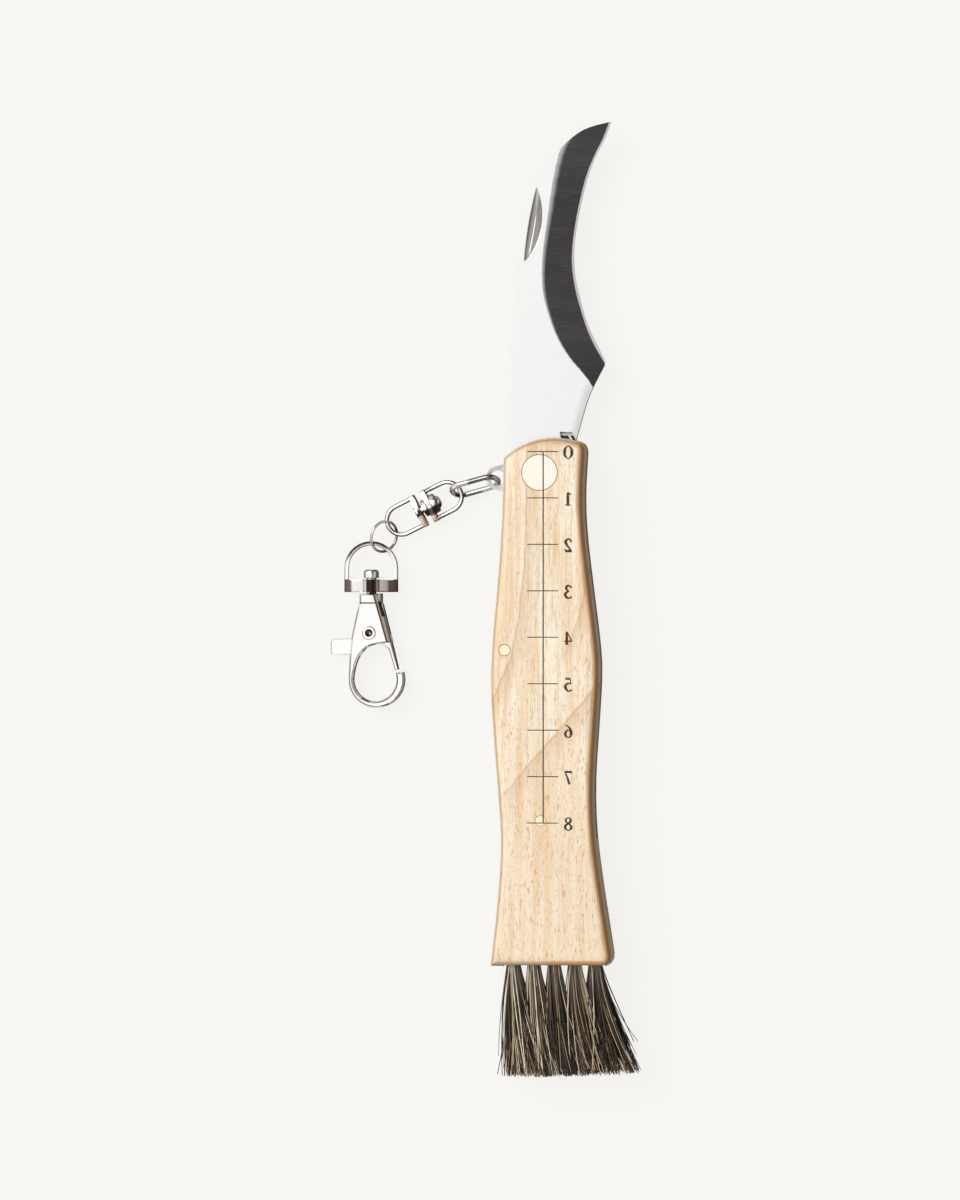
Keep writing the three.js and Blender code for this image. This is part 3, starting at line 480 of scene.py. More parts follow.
def bail_shading(b, x, y, z, colour):
    """The D-shaped bail: painted shade on its arc and painted light and shade in blocks along its
    crossbar.
    """
    arc = b.between(y, 29.8, 32.4) * b.between(x, -33.6, -35.6)
    rim = b.distance(x, y, BAIL_CENTRE)
    tone = b.blend(b.within(rim, 5.12, 5.24, 0.1), srgb(92, 84, 80), srgb(206, 200, 194))
    colour = b.blend(arc, colour, tone)
    blocks = b.ramp(
        (x + 44.3) / 11.7, (0.0, 96, 84, 76), (0.12, 120, 108, 100), (0.15, 240, 238, 234),
        (0.4, 236, 234, 230), (0.43, 50, 42, 38), (0.6, 66, 54, 48),
        (0.63, 190, 180, 172), (0.8, 160, 148, 140), (0.84, 84, 72, 66),
        (1.0, 70, 60, 54))
    return b.blend(b.between(y, 26.7, 26.4), colour, blocks)


def post_shading(b, x, y, z, colour):
    """The post: painted shade under its head and on its side away from the window."""
    shaded = b.between(y, 26.7, 26.4) * b.between(x, -39.3, -38.6)
    colour = b.blend(shaded, colour, srgb(58, 48, 44))
    return b.blend(b.between(x, -38.2, -37.2) * 0.6, colour, srgb(96, 86, 80))


def pin_marks(b, x, y, z, colour):
    """The hollow pin: brown round the edge of its rim and greyer brown in its bore."""
    out = b.distance(x, y, PIN_CENTRE)
    colour = b.blend(b.between(out, 1.2, 1.4) * 0.9, colour, srgb(140, 114, 92))
    return b.blend(b.between(out, 0.92, 0.8), colour, srgb(132, 116, 100))


def link_shading(b, x, y, z, colour):
    """The eye link's two dark stretches, painted dark reflections."""
    upper = b.within(x, -16.8, -11.6, 0.6) * b.between(y - (x + 14.0) * 0.2, 46.7, 47.3)
    lower = b.within(x, -20.6, -14.6, 0.9) * b.between(y - (x + 14.0) * 0.2, 46.3, 45.6)
    return b.blend(b.math("MAXIMUM", upper, lower) * 0.8, colour, srgb(74, 66, 62))


def swivel_places(x, y, z):
    """How far a point lies down the swivel, across it and over the middle of its wires."""
    start, way = [v / MM for v in spin["pos_m"]], spin["axis"]
    along = (x - start[0]) * way[0] + (y - start[1]) * way[1] + (z - start[2]) * way[2]
    across = (y - start[1]) * way[0] - (x - start[0]) * way[1]
    return along, across, z - start[2] - along * way[2]


def swivel_shading(b, x, y, z, colour):
    """The swivel's bails: painted shade down the sides of their wires and along one side of them,
    painted light and shade in blocks across their plates.
    """
    along, across, height = swivel_places(x, y, z)
    tone = b.blend(b.between(height, 0.32, 0.1), srgb(158, 148, 140), srgb(88, 80, 76))
    wires = b.blend(b.between(height, 0.45, 0.32), colour, tone)
    past = b.math("ABSOLUTE", along - SWIVEL_MIDDLE) - SWIVEL_STRAIGHT
    out = b.distance(b.math("MAXIMUM", past, 0.0), across, (0.0, 0.0)) - SWIVEL_ROUND
    shaded = b.between(out * b.between(across, -1.2, 0.4, -1.0, 1.0), 0.02, 0.26)
    wires = b.blend(shaded * 0.8, wires, srgb(112, 102, 94))
    width = (across + PLATE_HALF) / (2 * PLATE_HALF)
    near = b.ramp(
        width, (0.0, 212, 208, 198), (0.3, 190, 186, 174), (0.36, 240, 238, 232),
        (0.54, 226, 222, 216), (0.6, 74, 58, 50), (0.78, 96, 78, 68),
        (0.84, 228, 196, 174), (1.0, 236, 206, 186))
    far = b.ramp(
        width, (0.0, 240, 240, 236), (0.44, 232, 230, 224), (0.5, 48, 40, 36),
        (0.64, 66, 56, 50), (0.68, 184, 160, 146), (1.0, 236, 208, 188))
    shaded = b.between(along, 10.0, 9.8) * b.between(across, 1.0, 0.0)
    far = b.blend(shaded * 0.8, far, srgb(92, 82, 74))
    colour = b.blend(b.within(along, *NEAR_PLATE), wires, near)
    return b.blend(b.within(along, *FAR_PLATE), colour, far)


def barrel_shading(b, x, y, z, colour):
    """The swivel's rivet: painted shade on its lower side and in rings round its dome."""
    along, across, _ = swivel_places(x, y, z)
    colour = b.blend(b.between(across, 0.1, 0.7), colour, srgb(84, 70, 62))
    colour = b.blend(b.within(along, 5.6, 5.85, 0.1) * 0.8, colour, srgb(98, 84, 76))
    return b.blend(b.within(along, 6.9, 7.1, 0.15) * 0.8, colour, srgb(80, 70, 64))


def lever_shading(b, x, y, z, colour):
    """The gate's outer side: painted light and shade in bands like the clasp's side."""
    inside = inside_clasp(x, y)
    tone = b.ramp(
        inside * 0.6, (0.0, 240, 239, 236), (0.38, 234, 232, 228), (0.44, 128, 116, 108),
        (0.62, 108, 96, 88))
    return b.blend(b.between(y, 13.4, 12.8) * b.between(inside, -0.6, 0.1), colour, tone)


def ring_marks(b, x, y, z, colour):
    """The jump ring, duller than the rest, with painted shade below the middle of its wire."""
    middle = box_middle("jump_ring")[2]
    below = b.between(z, middle + 0.25, middle)
    return b.blend(below * 0.45 + 0.4, colour, srgb(142, 132, 124))


def make_brass():
    material, b, p = finish_of("pale_pin_brass")
    turned = b.noise(p, 2.6, 3.0)
    polish = b.noise(b.stretch(p, (9.0, 0.8, 0.8)), 1.0, 2.0)
    rivet = b.between(axis(b, p, 1), 30.0, 40.0)
    small = b.blend(b.between(turned, 0.35, 0.75), srgb(241, 224, 192), srgb(230, 208, 168))
    large = b.blend(b.between(turned, 0.35, 0.75), srgb(234, 227, 214), srgb(226, 217, 200))
    colour = b.blend(rivet, small, large)
    surface(b, Base_Color=colour, Metallic=1.0,
            Roughness=b.between(polish, 0.3, 0.75, 0.3, 0.42),
            Normal=bump(b, polish, 0.00001, 0.3))
    return material


def make_hair():
    material, b, p = finish_of("mixed_bristle")
    shade = b.out("ShaderNodeAttribute", {"attribute_name": "shade"}, None, 2)
    along = b.noise(b.stretch(p, (1.5, 0.25, 1.5)), 1.0, 2.0)
    mixed = b.ramp(
        shade, (0.0, 20, 14, 12), (0.34, 40, 29, 25), (0.54, 92, 72, 60),
        (0.66, 142, 116, 88), (0.8, 214, 190, 148), (1.0, 250, 238, 208))
    colour = b.blend(b.between(along, 0.35, 0.7) * 0.3, mixed, srgb(62, 48, 40))
    root = b.between(axis(b, p, 1), -66.0, -58.0)
    colour = b.blend(root * 0.3, colour, srgb(142, 128, 112))
    surface(b, Base_Color=colour, Roughness=b.between(along, 0.2, 0.8, 0.35, 0.5),
            Specular_IOR_Level=0.5)
    return material


def make_ink():
    material, b, p = finish_of("printed_ink")
    wear_and_shading = b.noise(p, 3.4, 2.0, 0.6)
    colour = b.blend(b.between(wear_and_shading, 0.5, 0.72) * 0.6, srgb(66, 50, 40), srgb(150, 118, 88))
    surface(b, Base_Color=colour, Roughness=b.between(wear_and_shading, 0.3, 0.7, 0.55, 0.7),
            Specular_IOR_Level=0.2)
    return material


wood = make_wood()
blade_steel = make_blade()
liner_steel = make_steel("satin_liner_steel", srgb(206, 205, 203), srgb(166, 164, 162), 0.34)
spring_steel = make_steel("drawn_spring_steel", srgb(196, 195, 196), srgb(140, 138, 138), 0.36)
plating = make_plating("bright_plating")
brass = make_brass()
hair = make_hair()
ink = make_ink()

FINISHES = {
    "wood": wood,
    "blade_steel": blade_steel,
    "liner_steel": liner_steel,
    "spring_steel": spring_steel,
    "chain_plating": plating,
    "pin_brass": brass,
    "bristle": hair,
}
# Chain pieces with painted shade, highlights and tones of their own
MARKED = {
    "clasp_body": make_plating("clasp_body_plating", body_shading),
    "clasp_bail": make_plating("clasp_bail_plating", bail_shading),
    "clasp_post": make_plating("clasp_post_plating", post_shading),
    "lever_pin": make_plating("lever_pin_plating", pin_marks),
    "eye_link": make_plating("eye_link_plating", link_shading),
    "swivel_bail_near": make_plating("swivel_near_plating", swivel_shading),
    "swivel_bail_far": make_plating("swivel_far_plating", swivel_shading),
    "jump_ring": make_plating("jump_ring_plating", ring_marks, 0.8),
    "clasp_lever": make_plating("clasp_lever_plating", lever_shading),
}


# CAD nodes

def form_tree(name, **inputs):
    """A new geometry tree: its board, its inputs' wires by name, and their identifiers."""
    tree = bpy.data.node_groups.new(name, "GeometryNodeTree")
    tree.interface.new_socket("Geometry", in_out="INPUT", socket_type="NodeSocketGeometry")
    names = {}
    for word, kind in inputs.items():
        label = word.replace("_", " ")
        made = tree.interface.new_socket(label, in_out="INPUT", socket_type=f"NodeSocket{kind}")
        names[label] = made.identifier
    tree.interface.new_socket("Geometry", in_out="OUTPUT", socket_type="NodeSocketGeometry")
    board = Board(tree)
    given = board.add("NodeGroupInput")
    wires = {label: Wire(board, given.outputs[label]) for label in ("Geometry", *names)}
    return board, wires, names


def crease_tree():
    """Shades a mesh smooth up to the crease angle."""
    b, size, names = form_tree("smooth_up_to_crease", Crease_Angle="Float")
    sharp = b.math("GREATER_THAN", b.out("GeometryNodeInputMeshEdgeAngle"), size["Crease Angle"])
    shaded = b.out("GeometryNodeSetMeshNormal", {"mode": "SHARPNESS"}, {
        "Mesh": size["Geometry"], "Remove Custom": True, "Edge Sharpness": sharp,
        "Face Sharpness": False})
    b.add("NodeGroupOutput", None, {0: shaded})
    return b.tree, names["Crease Angle"]


def outline_tree():
    """Rounds the facets of a curved outline; an edge over the crease angle stays where it is."""
    b, size, names = form_tree("round_outline", Crease_Angle="Float")
    sharp = b.math("GREATER_THAN", b.out("GeometryNodeInputMeshEdgeAngle"), size["Crease Angle"])
    finer = b.out("GeometryNodeSubdivisionSurface", None, {
        "Mesh": size["Geometry"], "Level": OUTLINE_LEVELS, "Edge Crease": sharp})
    b.add("NodeGroupOutput", None, {0: finer})
    return b.tree, names["Crease Angle"]


def shade_up_to_crease(piece, angle):
    shaded = piece.modifiers.new("creases", "NODES")
    shaded.node_group = creases
    shaded[crease_angle] = math.radians(angle)


creases, crease_angle = crease_tree()
outlines, outline_angle = outline_tree()
# Radius in millimetres of the edges that are rounded
ROUNDED = {"rear_liner": 0.12, "front_liner": 0.12, "back_spring": 0.12, "clasp_bail": 0.25,
           "clasp_body": 0.25, "clasp_lever": 0.2, "swivel_bail_near": 0.15,
           "swivel_bail_far": 0.15, "clasp_post": 0.15, "lever_pin": 0.08}
# Angles in degrees: edges rounded from, outline kept from, shading split from
BEVEL_FROM = {"swivel_bail_near": 70, "swivel_bail_far": 70, "clasp_body": 60, "clasp_bail": 60,
              "clasp_lever": 60}
WIRES = ("eye_link", "jump_ring", "swivel_bail_near", "swivel_bail_far")
OUTLINES = {"clasp_body": 34}
CREASES = {"blade": 5.5, "eye_link": 75, "jump_ring": 75, "swivel_bail_near": 60,
           "swivel_bail_far": 60}

for name, node in nodes.items():
    slot = node.data.materials[0].name.split(".")[0]
    node.data.materials[0] = MARKED.get(name, FINISHES[slot])
    if slot == "bristle":
        continue
    joined = node.modifiers.new("joined", "WELD")
    joined.merge_threshold = WELD
    if name in OUTLINES:
        finer = node.modifiers.new("round_outline", "NODES")
        finer.node_group = outlines
        finer[outline_angle] = math.radians(OUTLINES[name])
    if name in ROUNDED:
        edges = node.modifiers.new("worn_edges", "BEVEL")
        edges.width = ROUNDED[name] * MM
        edges.segments = BEVEL_SEGMENTS
        edges.limit_method = "ANGLE"
        edges.angle_limit = math.radians(BEVEL_FROM.get(name, BEVEL_ANGLE))
    shade_up_to_crease(node, CREASES.get(name, CREASE_ANGLE))
    if name in WIRES:
        continue
    flats = node.modifiers.new("flat_faces", "WEIGHTED_NORMAL")
    flats.mode = "FACE_AREA_WITH_ANGLE"
    flats.weight = FLAT_WEIGHT
    flats.keep_sharp = True


# Brush

def brush_tree():
    """Tufts of bent, tapered hairs standing in a row along the butt."""
    b, size, names = form_tree(
        "brush_row", Tufts="Int", Hairs="Int", Pitch="Float", Radius="Float", Length="Float",
        Root_Radius="Float", Tip_Radius="Float", Spread_Along="Float", Spread_Across="Float",
        First_Lean="Float", Last_Lean="Float", Seed="Int", Centre="Vector")

    def chance(low, high, offset, **more):
        """A random number for each hair, or for each ID."""
        return b.out("FunctionNodeRandomValue", {"data_type": "FLOAT"}, {
            2: low, 3: high, "Seed": size["Seed"] + float(offset), **more}, 1)

    def length_share(share, offset):
        """A random length of up to this share of a hair's, either way."""
        return chance(-share, share, offset) * size["Length"]

    def vector(x, y, z):
        return b.out("ShaderNodeCombineXYZ", None, {0: x, 1: y, 2: z})

    def vector_sum(a, c):
        return b.out("ShaderNodeVectorMath", {"operation": "ADD"}, {0: a, 1: c})

    def keep(geometry, label, value, kind):
        return b.out("GeometryNodeStoreNamedAttribute", {"data_type": kind, "domain": "POINT"}, {
            "Geometry": geometry, "Name": label, "Value": value})

    def kept(label, kind):
        return b.out("GeometryNodeInputNamedAttribute", {"data_type": kind}, {"Name": label})

    roots = b.out("GeometryNodePoints", None, {"Count": size["Tufts"] * size["Hairs"]})
    tuft = b.math("FLOOR", b.out("GeometryNodeInputIndex") / size["Hairs"] + 0.0001)
    share = tuft / (size["Tufts"] - 1.0)
    turn = chance(0.0, math.tau, 1)
    ring = b.math("SQRT", chance(0.0, 1.0, 2))
    side = b.math("COSINE", turn) * ring
    rise = b.math("SINE", turn) * ring
    pull = share * share
    lean = size["First Lean"] * (1.0 - pull) + size["Last Lean"] * pull
    fan = size["Spread Along"] - 1.0
    length = size["Length"] * (1.0 - b.math("POWER", chance(0.0, 1.0, 3), 4.0) * SHORTEST_BY)
    length = length * (1.0 - pull * LAST_TUFT_SHORTER_BY)
    stray = b.math("POWER", chance(0.0, 1.0, 4), 6.0) * chance(-1.0, 1.0, 5)
    lock = b.math("FLOOR", turn * LOCKS_PER_RADIAN) + tuft * LOCKS_APART
    lock_lean = chance(-LOCK_LEAN, LOCK_LEAN, 31, ID=lock)
    root = vector(tuft * size["Pitch"] - (size["Tufts"] - 1.0) * size["Pitch"] * 0.5
                  + side * size["Radius"], 0.0, rise * size["Radius"])
    tip = vector(
        length * lean + side * size["Radius"] * fan
        + stray * size["Length"] * STRAY_REACH + length_share(TIP_DRIFT[0], 6)
        + lock_lean * size["Length"],
        -length,
        rise * size["Radius"] * (size["Spread Across"] - 1.0) + length_share(TIP_DRIFT[1], 7))
    bow = vector(length_share(BOW[0], 8), 0.0, length_share(BOW[1], 9))
    lock_tone = b.out("FunctionNodeRandomValue", {"data_type": "FLOAT"}, {
        2: -LOCK_TONE, 3: LOCK_TONE, "ID": lock, "Seed": LOCK_TONE_SEED}, 1)
    tone = chance(0.0, 1.0, 10) + (0.5 - share) * 0.3 + lock_tone
    thick = chance(*HAIR_THICKNESSES, 11)
    for label, value, kind in (("root", root, "FLOAT_VECTOR"), ("reach", tip, "FLOAT_VECTOR"),
                               ("bow", bow, "FLOAT_VECTOR"), ("shade", tone, "FLOAT"),
                               ("thick", thick, "FLOAT")):
        roots = keep(roots, label, value, kind)

    strand = b.out("GeometryNodeCurvePrimitiveLine", None, {"End": (0.0, -1.0, 0.0)})
    strand = b.out("GeometryNodeResampleCurve", None, {
        "Curve": strand, "Count": HAIR_POINTS})
    hairs = b.out("GeometryNodeInstanceOnPoints", None, {"Points": roots, "Instance": strand})
    hairs = b.out("GeometryNodeRealizeInstances", None, {"Geometry": hairs})
    along = b.out("GeometryNodeSplineParameter")
    arch = along * (1.0 - along) * 4.0

    opening = b.math("POWER", along, OPENING)
    reached = b.out("ShaderNodeVectorMath", {"operation": "MULTIPLY"}, {
        0: kept("reach", "FLOAT_VECTOR"), 1: vector(opening, along, opening)})
    bowed = b.out("ShaderNodeVectorMath", {"operation": "SCALE"}, {
        0: kept("bow", "FLOAT_VECTOR"), "Scale": arch})
    place = vector_sum(vector_sum(kept("root", "FLOAT_VECTOR"), size["Centre"]),
                       vector_sum(reached, bowed))
    hairs = b.out("GeometryNodeSetPosition", None, {"Geometry": hairs, "Position": place})
    profile = b.out("GeometryNodeCurvePrimitiveCircle", {"mode": "RADIUS"}, {
        "Resolution": HAIR_SIDES, "Radius": 1.0})
    taper = size["Root Radius"] * (1.0 - along) + size["Tip Radius"] * along
    tubes = b.out("GeometryNodeCurveToMesh", None, {
        "Curve": hairs, "Profile Curve": profile, "Scale": taper * kept("thick", "FLOAT"),
        "Fill Caps": True})
    for label in ("root", "reach", "bow", "thick"):
        tubes = b.out("GeometryNodeRemoveAttribute", None, {"Geometry": tubes, "Name": label})
    tubes = b.out("GeometryNodeRealizeInstances", None, {"Geometry": tubes})
    tubes = b.out("GeometryNodeSetMaterial", None, {"Geometry": tubes, "Material": hair})
    b.add("NodeGroupOutput", None, {0: tubes})
    return b.tree, names


def grown(name, tree, values):
    """A plain mesh object made by a geometry tree with these input values."""
    carrier = bpy.data.objects.new(name + "_carrier", bpy.data.meshes.new(name + "_carrier"))
    bpy.context.scene.collection.objects.link(carrier)
    modifier = carrier.modifiers.new("grow", "NODES")
    modifier.node_group = tree
    for identifier, value in values.items():
        modifier[identifier] = value
    bpy.context.view_layer.update()
    evaluated = carrier.evaluated_get(bpy.context.evaluated_depsgraph_get())
    mesh = bpy.data.meshes.new_from_object(evaluated)
    mesh.name = name
    bpy.data.objects.remove(carrier)
    made = bpy.data.objects.new(name, mesh)
    bpy.context.scene.collection.objects.link(made)
    return made


def block(bm, size, middle):
    made = bmesh.ops.create_cube(bm, size=1)["verts"]
    bmesh.ops.scale(bm, verts=made, vec=size)
    bmesh.ops.translate(bm, verts=made, vec=middle)


def solid(name, build, material):
    """A mesh object from a function that fills a bmesh."""
    mesh = bpy.data.meshes.new(name)
    bm = bmesh.new()
    build(bm)
    bmesh.ops.remove_doubles(bm, verts=bm.verts, dist=0.0001 * MM)
    bmesh.ops.recalc_face_normals(bm, faces=bm.faces)
    bm.to_mesh(mesh)
    bm.free()
    mesh.materials.append(material)
    made = bpy.data.objects.new(name, mesh)
    bpy.context.scene.collection.objects.link(made)
    return made


tree, sockets = brush_tree()
for order, (row, (height, shift, tuft_radius)) in enumerate(ROWS.items()):
    tufts = grown(f"brush_hair_{row}", tree, {
        sockets["Tufts"]: TUFTS, sockets["Hairs"]: HAIRS, sockets["Pitch"]: TUFT_PITCH,
        sockets["Radius"]: tuft_radius, sockets["Length"]: HAIR_LENGTH + HAIR_HELD,
        sockets["Root Radius"]: HAIR_ROOT, sockets["Tip Radius"]: HAIR_TIP,
        sockets["Spread Along"]: SPREAD_ALONG, sockets["Spread Across"]: SPREAD_ACROSS,
        sockets["First Lean"]: FIRST_LEAN, sockets["Last Lean"]: LAST_LEAN,
        sockets["Seed"]: FIRST_SEED + SEED_STEP * order,
        sockets["Centre"]: (BRUSH_CENTRE + shift, BRUSH_FACE + HAIR_HELD, height)})
    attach(tufts, "knife")
    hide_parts(f"bristle_row_{row}")

    def strip_form(bm, height=height):
        half = TUFT_PITCH * (TUFTS - 1) / 2 + STRIP_PAST_TUFT
        block(bm, (2 * half, STRIP_DEPTH, STRIP_HEIGHT),
              (BRUSH_CENTRE, BRUSH_FACE + STRIP_DEPTH / 2, height))
        bmesh.ops.bevel(bm, geom=bm.edges[:], offset=STRIP_ROUNDING, segments=2, affect="EDGES")

    strip = solid(f"brush_strip_{row}", strip_form, wood)
    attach(strip, "knife")
    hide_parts(f"bristle_row_{row}")


# Chain

def turn_form(start, way, outline):
    """A form that turns (reach, radius) points about the line from start along way."""
    start, way = Vector(start), Vector(way).normalized()
    side = way.orthogonal().normalized()
    other = way.cross(side)

    def build(bm):
        rings = []
        for reach, radius in outline:
            middle = start + way * reach * MM
            corners = TURN_STEPS if radius else 1
            turns = [math.tau * step / TURN_STEPS for step in range(corners)]
            rings.append([bm.verts.new(middle + (side * math.cos(turn) + other * math.sin(turn))
                                       * radius * MM) for turn in turns])
        for one, two in zip(rings, rings[1:]):
            for step in range(TURN_STEPS):
                corners = [one[step % len(one)], one[(step + 1) % len(one)],
                           two[(step + 1) % len(two)], two[step % len(two)]]
                bm.faces.new(list(dict.fromkeys(corners)))
    return build


def turned_piece(name, form, material, body):
    """A turned piece with its steps kept sharp."""
    made = solid(name, form, material)
    for face in made.data.polygons:
        face.use_smooth = True
    shade_up_to_crease(made, CREASE_ANGLE)
    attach(made, body)
    return made


barrel = turned_piece(
    "swivel_barrel", turn_form(spin["pos_m"], spin["axis"], BARREL_OUTLINE),
    make_plating("swivel_barrel_plating", barrel_shading), "swivel_far")
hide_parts("swivel_rivet", "swivel_washer")


def coil_tree():
    """A coil spring up the Y axis, with a closed turn at each end."""
    b, size, names = form_tree("coil", Open_Turns="Float", Radius="Float", Wire="Float",
                               Length="Float", Start="Vector")
    wire = b.out("GeometryNodeCurvePrimitiveLine", None, {"End": (0.0, 1.0, 0.0)})
    wire = b.out("GeometryNodeResampleCurve", None, {"Curve": wire, "Count": COIL_POINTS})
    turns = b.out("GeometryNodeSplineParameter") * (size["Open Turns"] + COIL_CLOSED_TURNS)
    opened = b.math("MINIMUM", b.math("MAXIMUM", turns - 1.0, 0.0), size["Open Turns"])
    closed = turns - opened
    pitch = (size["Length"] - size["Wire"] * 2.0) / size["Open Turns"]
    angle = turns * math.tau
    place = b.out("ShaderNodeCombineXYZ", None, {
        0: b.math("COSINE", angle) * size["Radius"], 1: closed * size["Wire"] + opened * pitch,
        2: b.math("SINE", angle) * size["Radius"]})
    place = b.out("ShaderNodeVectorMath", {"operation": "ADD"}, {0: place, 1: size["Start"]})
    wire = b.out("GeometryNodeSetPosition", None, {"Geometry": wire, "Position": place})
    profile = b.out("GeometryNodeCurvePrimitiveCircle", {"mode": "RADIUS"}, {
        "Resolution": COIL_SIDES, "Radius": size["Wire"] * COIL_THICKNESS})
    coil = b.out("GeometryNodeCurveToMesh", None, {
        "Curve": wire, "Profile Curve": profile, "Fill Caps": True})
    coil = b.out("GeometryNodeRealizeInstances", None, {"Geometry": coil})
    coil = b.out("GeometryNodeSetMaterial", None, {"Geometry": coil, "Material": spring_steel})
    b.add("NodeGroupOutput", None, {0: coil})
    return b.tree, names


low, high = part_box("lever_spring")
coil_start = ((low[0] + high[0]) / 2, low[1] + COIL_WIRE / 2, (low[2] + high[2]) / 2)
tree, sockets = coil_tree()
coil = grown("lever_coil", tree, {
    sockets["Open Turns"]: COIL_OPEN_TURNS, sockets["Radius"]: COIL_RADIUS,
    sockets["Wire"]: COIL_WIRE, sockets["Length"]: high[1] - low[1] - COIL_WIRE,
    sockets["Start"]: coil_start})
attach(coil, "clasp")
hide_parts("lever_spring")
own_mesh(coil)

low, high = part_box("lever_pin")
pin_middle = ((low[0] + high[0]) / 2, (low[1] + high[1]) / 2, low[2])
turned_piece("lever_pin_core", turn_form(pin_middle, (0, 0, 1), PIN_CORE_OUTLINE),
             MARKED["lever_pin"], "clasp")


# Printed rule

def ticks_tree():
    """Equal bars down a line."""
    b, size, names = form_tree("rule_ticks", Count="Int", Top="Vector", Step="Vector", Bar="Vector")
    row = b.out("GeometryNodeMeshLine", {"mode": "OFFSET"}, {
        "Count": size["Count"], "Start Location": size["Top"], "Offset": size["Step"]})
    bar = b.out("GeometryNodeMeshCube", None, {"Size": size["Bar"]})
    bars = b.out("GeometryNodeInstanceOnPoints", None, {"Points": row, "Instance": bar})
    bars = b.out("GeometryNodeRealizeInstances", None, {"Geometry": bars})
    bars = b.out("GeometryNodeSetMaterial", None, {"Geometry": bars, "Material": ink})
    b.add("NodeGroupOutput", None, {0: bars})
    return b.tree, names


tree, sockets = ticks_tree()
tick_middle = (TICK_LEFT + TICK_RIGHT) / 2
ticks = grown("rule_ticks", tree, {
    sockets["Count"]: RULE_STEPS + 1,
    sockets["Top"]: (tick_middle, RULE_TOP, FACE_HEIGHT),
    sockets["Step"]: (0.0, -RULE_STEP, 0.0),
    sockets["Bar"]: (TICK_RIGHT - TICK_LEFT, TICK_WIDTH, 2 * INK)})

# Pen strokes of the digits 0 to 8: across, up and stroke width, in shares of the digit's height
DIGITS = [
    [[(0.28, 0.97, 0.05), (0.07, 0.76, 0.12), (0.04, 0.5, 0.15), (0.07, 0.24, 0.12),
      (0.28, 0.03, 0.05), (0.49, 0.24, 0.12), (0.52, 0.5, 0.15), (0.49, 0.76, 0.12),
      (0.28, 0.97, 0.05)]],
    [[(0.3, 0.97, 0.14), (0.3, 0.5, 0.15), (0.3, 0.04, 0.14)],
     [(0.1, 0.03, 0.06), (0.5, 0.03, 0.06)],
     [(0.08, 0.82, 0.06), (0.2, 0.88, 0.08), (0.3, 0.95, 0.09)]],
    [[(0.06, 0.72, 0.1), (0.15, 0.92, 0.09), (0.31, 0.95, 0.1), (0.44, 0.8, 0.15),
      (0.42, 0.62, 0.15), (0.26, 0.36, 0.1), (0.06, 0.07, 0.08)],
     [(0.04, 0.07, 0.14), (0.48, 0.07, 0.15)],
     [(0.46, 0.06, 0.06), (0.53, 0.25, 0.05)]],
    [[(0.07, 0.78, 0.11), (0.17, 0.94, 0.08), (0.34, 0.93, 0.12), (0.42, 0.77, 0.14),
      (0.34, 0.61, 0.09), (0.2, 0.53, 0.06)],
     [(0.2, 0.53, 0.06), (0.4, 0.45, 0.12), (0.48, 0.27, 0.15), (0.38, 0.07, 0.12),
      (0.2, 0.03, 0.08), (0.06, 0.13, 0.12)]],
    [[(0.36, 0.97, 0.06), (0.2, 0.63, 0.06), (0.04, 0.3, 0.06)],
     [(0.03, 0.28, 0.08), (0.54, 0.28, 0.08)],
     [(0.38, 0.98, 0.1), (0.38, 0.5, 0.14), (0.38, 0.0, 0.14)]],
    [[(0.14, 0.93, 0.12), (0.48, 0.95, 0.12)],
     [(0.14, 0.93, 0.06), (0.1, 0.56, 0.05)],
     [(0.1, 0.56, 0.06), (0.28, 0.6, 0.09), (0.45, 0.46, 0.14), (0.46, 0.26, 0.15),
      (0.33, 0.06, 0.1), (0.17, 0.03, 0.08), (0.05, 0.12, 0.12)]],
    [[(0.48, 0.96, 0.06), (0.28, 0.84, 0.08), (0.12, 0.6, 0.13), (0.08, 0.32, 0.15),
      (0.15, 0.09, 0.1), (0.28, 0.03, 0.06), (0.43, 0.13, 0.11), (0.48, 0.32, 0.14),
      (0.39, 0.51, 0.1), (0.25, 0.55, 0.06), (0.12, 0.44, 0.06)]],
    [[(0.05, 0.92, 0.13), (0.52, 0.92, 0.12)],
     [(0.05, 0.95, 0.05), (0.04, 0.74, 0.04)],
     [(0.5, 0.92, 0.06), (0.34, 0.5, 0.1), (0.2, 0.0, 0.14)]],
    [[(0.28, 0.97, 0.06), (0.13, 0.87, 0.11), (0.13, 0.68, 0.13), (0.28, 0.53, 0.1),
      (0.45, 0.4, 0.13), (0.48, 0.2, 0.13), (0.28, 0.03, 0.06), (0.08, 0.18, 0.12),
      (0.11, 0.38, 0.11), (0.28, 0.53, 0.07), (0.42, 0.68, 0.1), (0.43, 0.86, 0.1),
      (0.28, 0.97, 0.06)]],
]


def curved(points):
    """Points on a smooth curve through these, each with its width."""
    if len(points) == 2:
        return [Vector(p) for p in points]
    closed = points[0] == points[-1]
    first = points[-2] if closed else points[0]
    last = points[1] if closed else points[-1]
    row = [Vector(p) for p in (first, *points, last)]
    made = []
    for a, c, d, e in zip(row, row[1:], row[2:], row[3:]):
        for step in range(STROKE_STEPS):
            t = step / STROKE_STEPS
            made.append(0.5 * (2 * c + (d - a) * t + (2 * a - 5 * c + 4 * d - e) * t * t
                               + (3 * c - a - 3 * d + e) * t ** 3))
    made.append(row[-2])
    return made


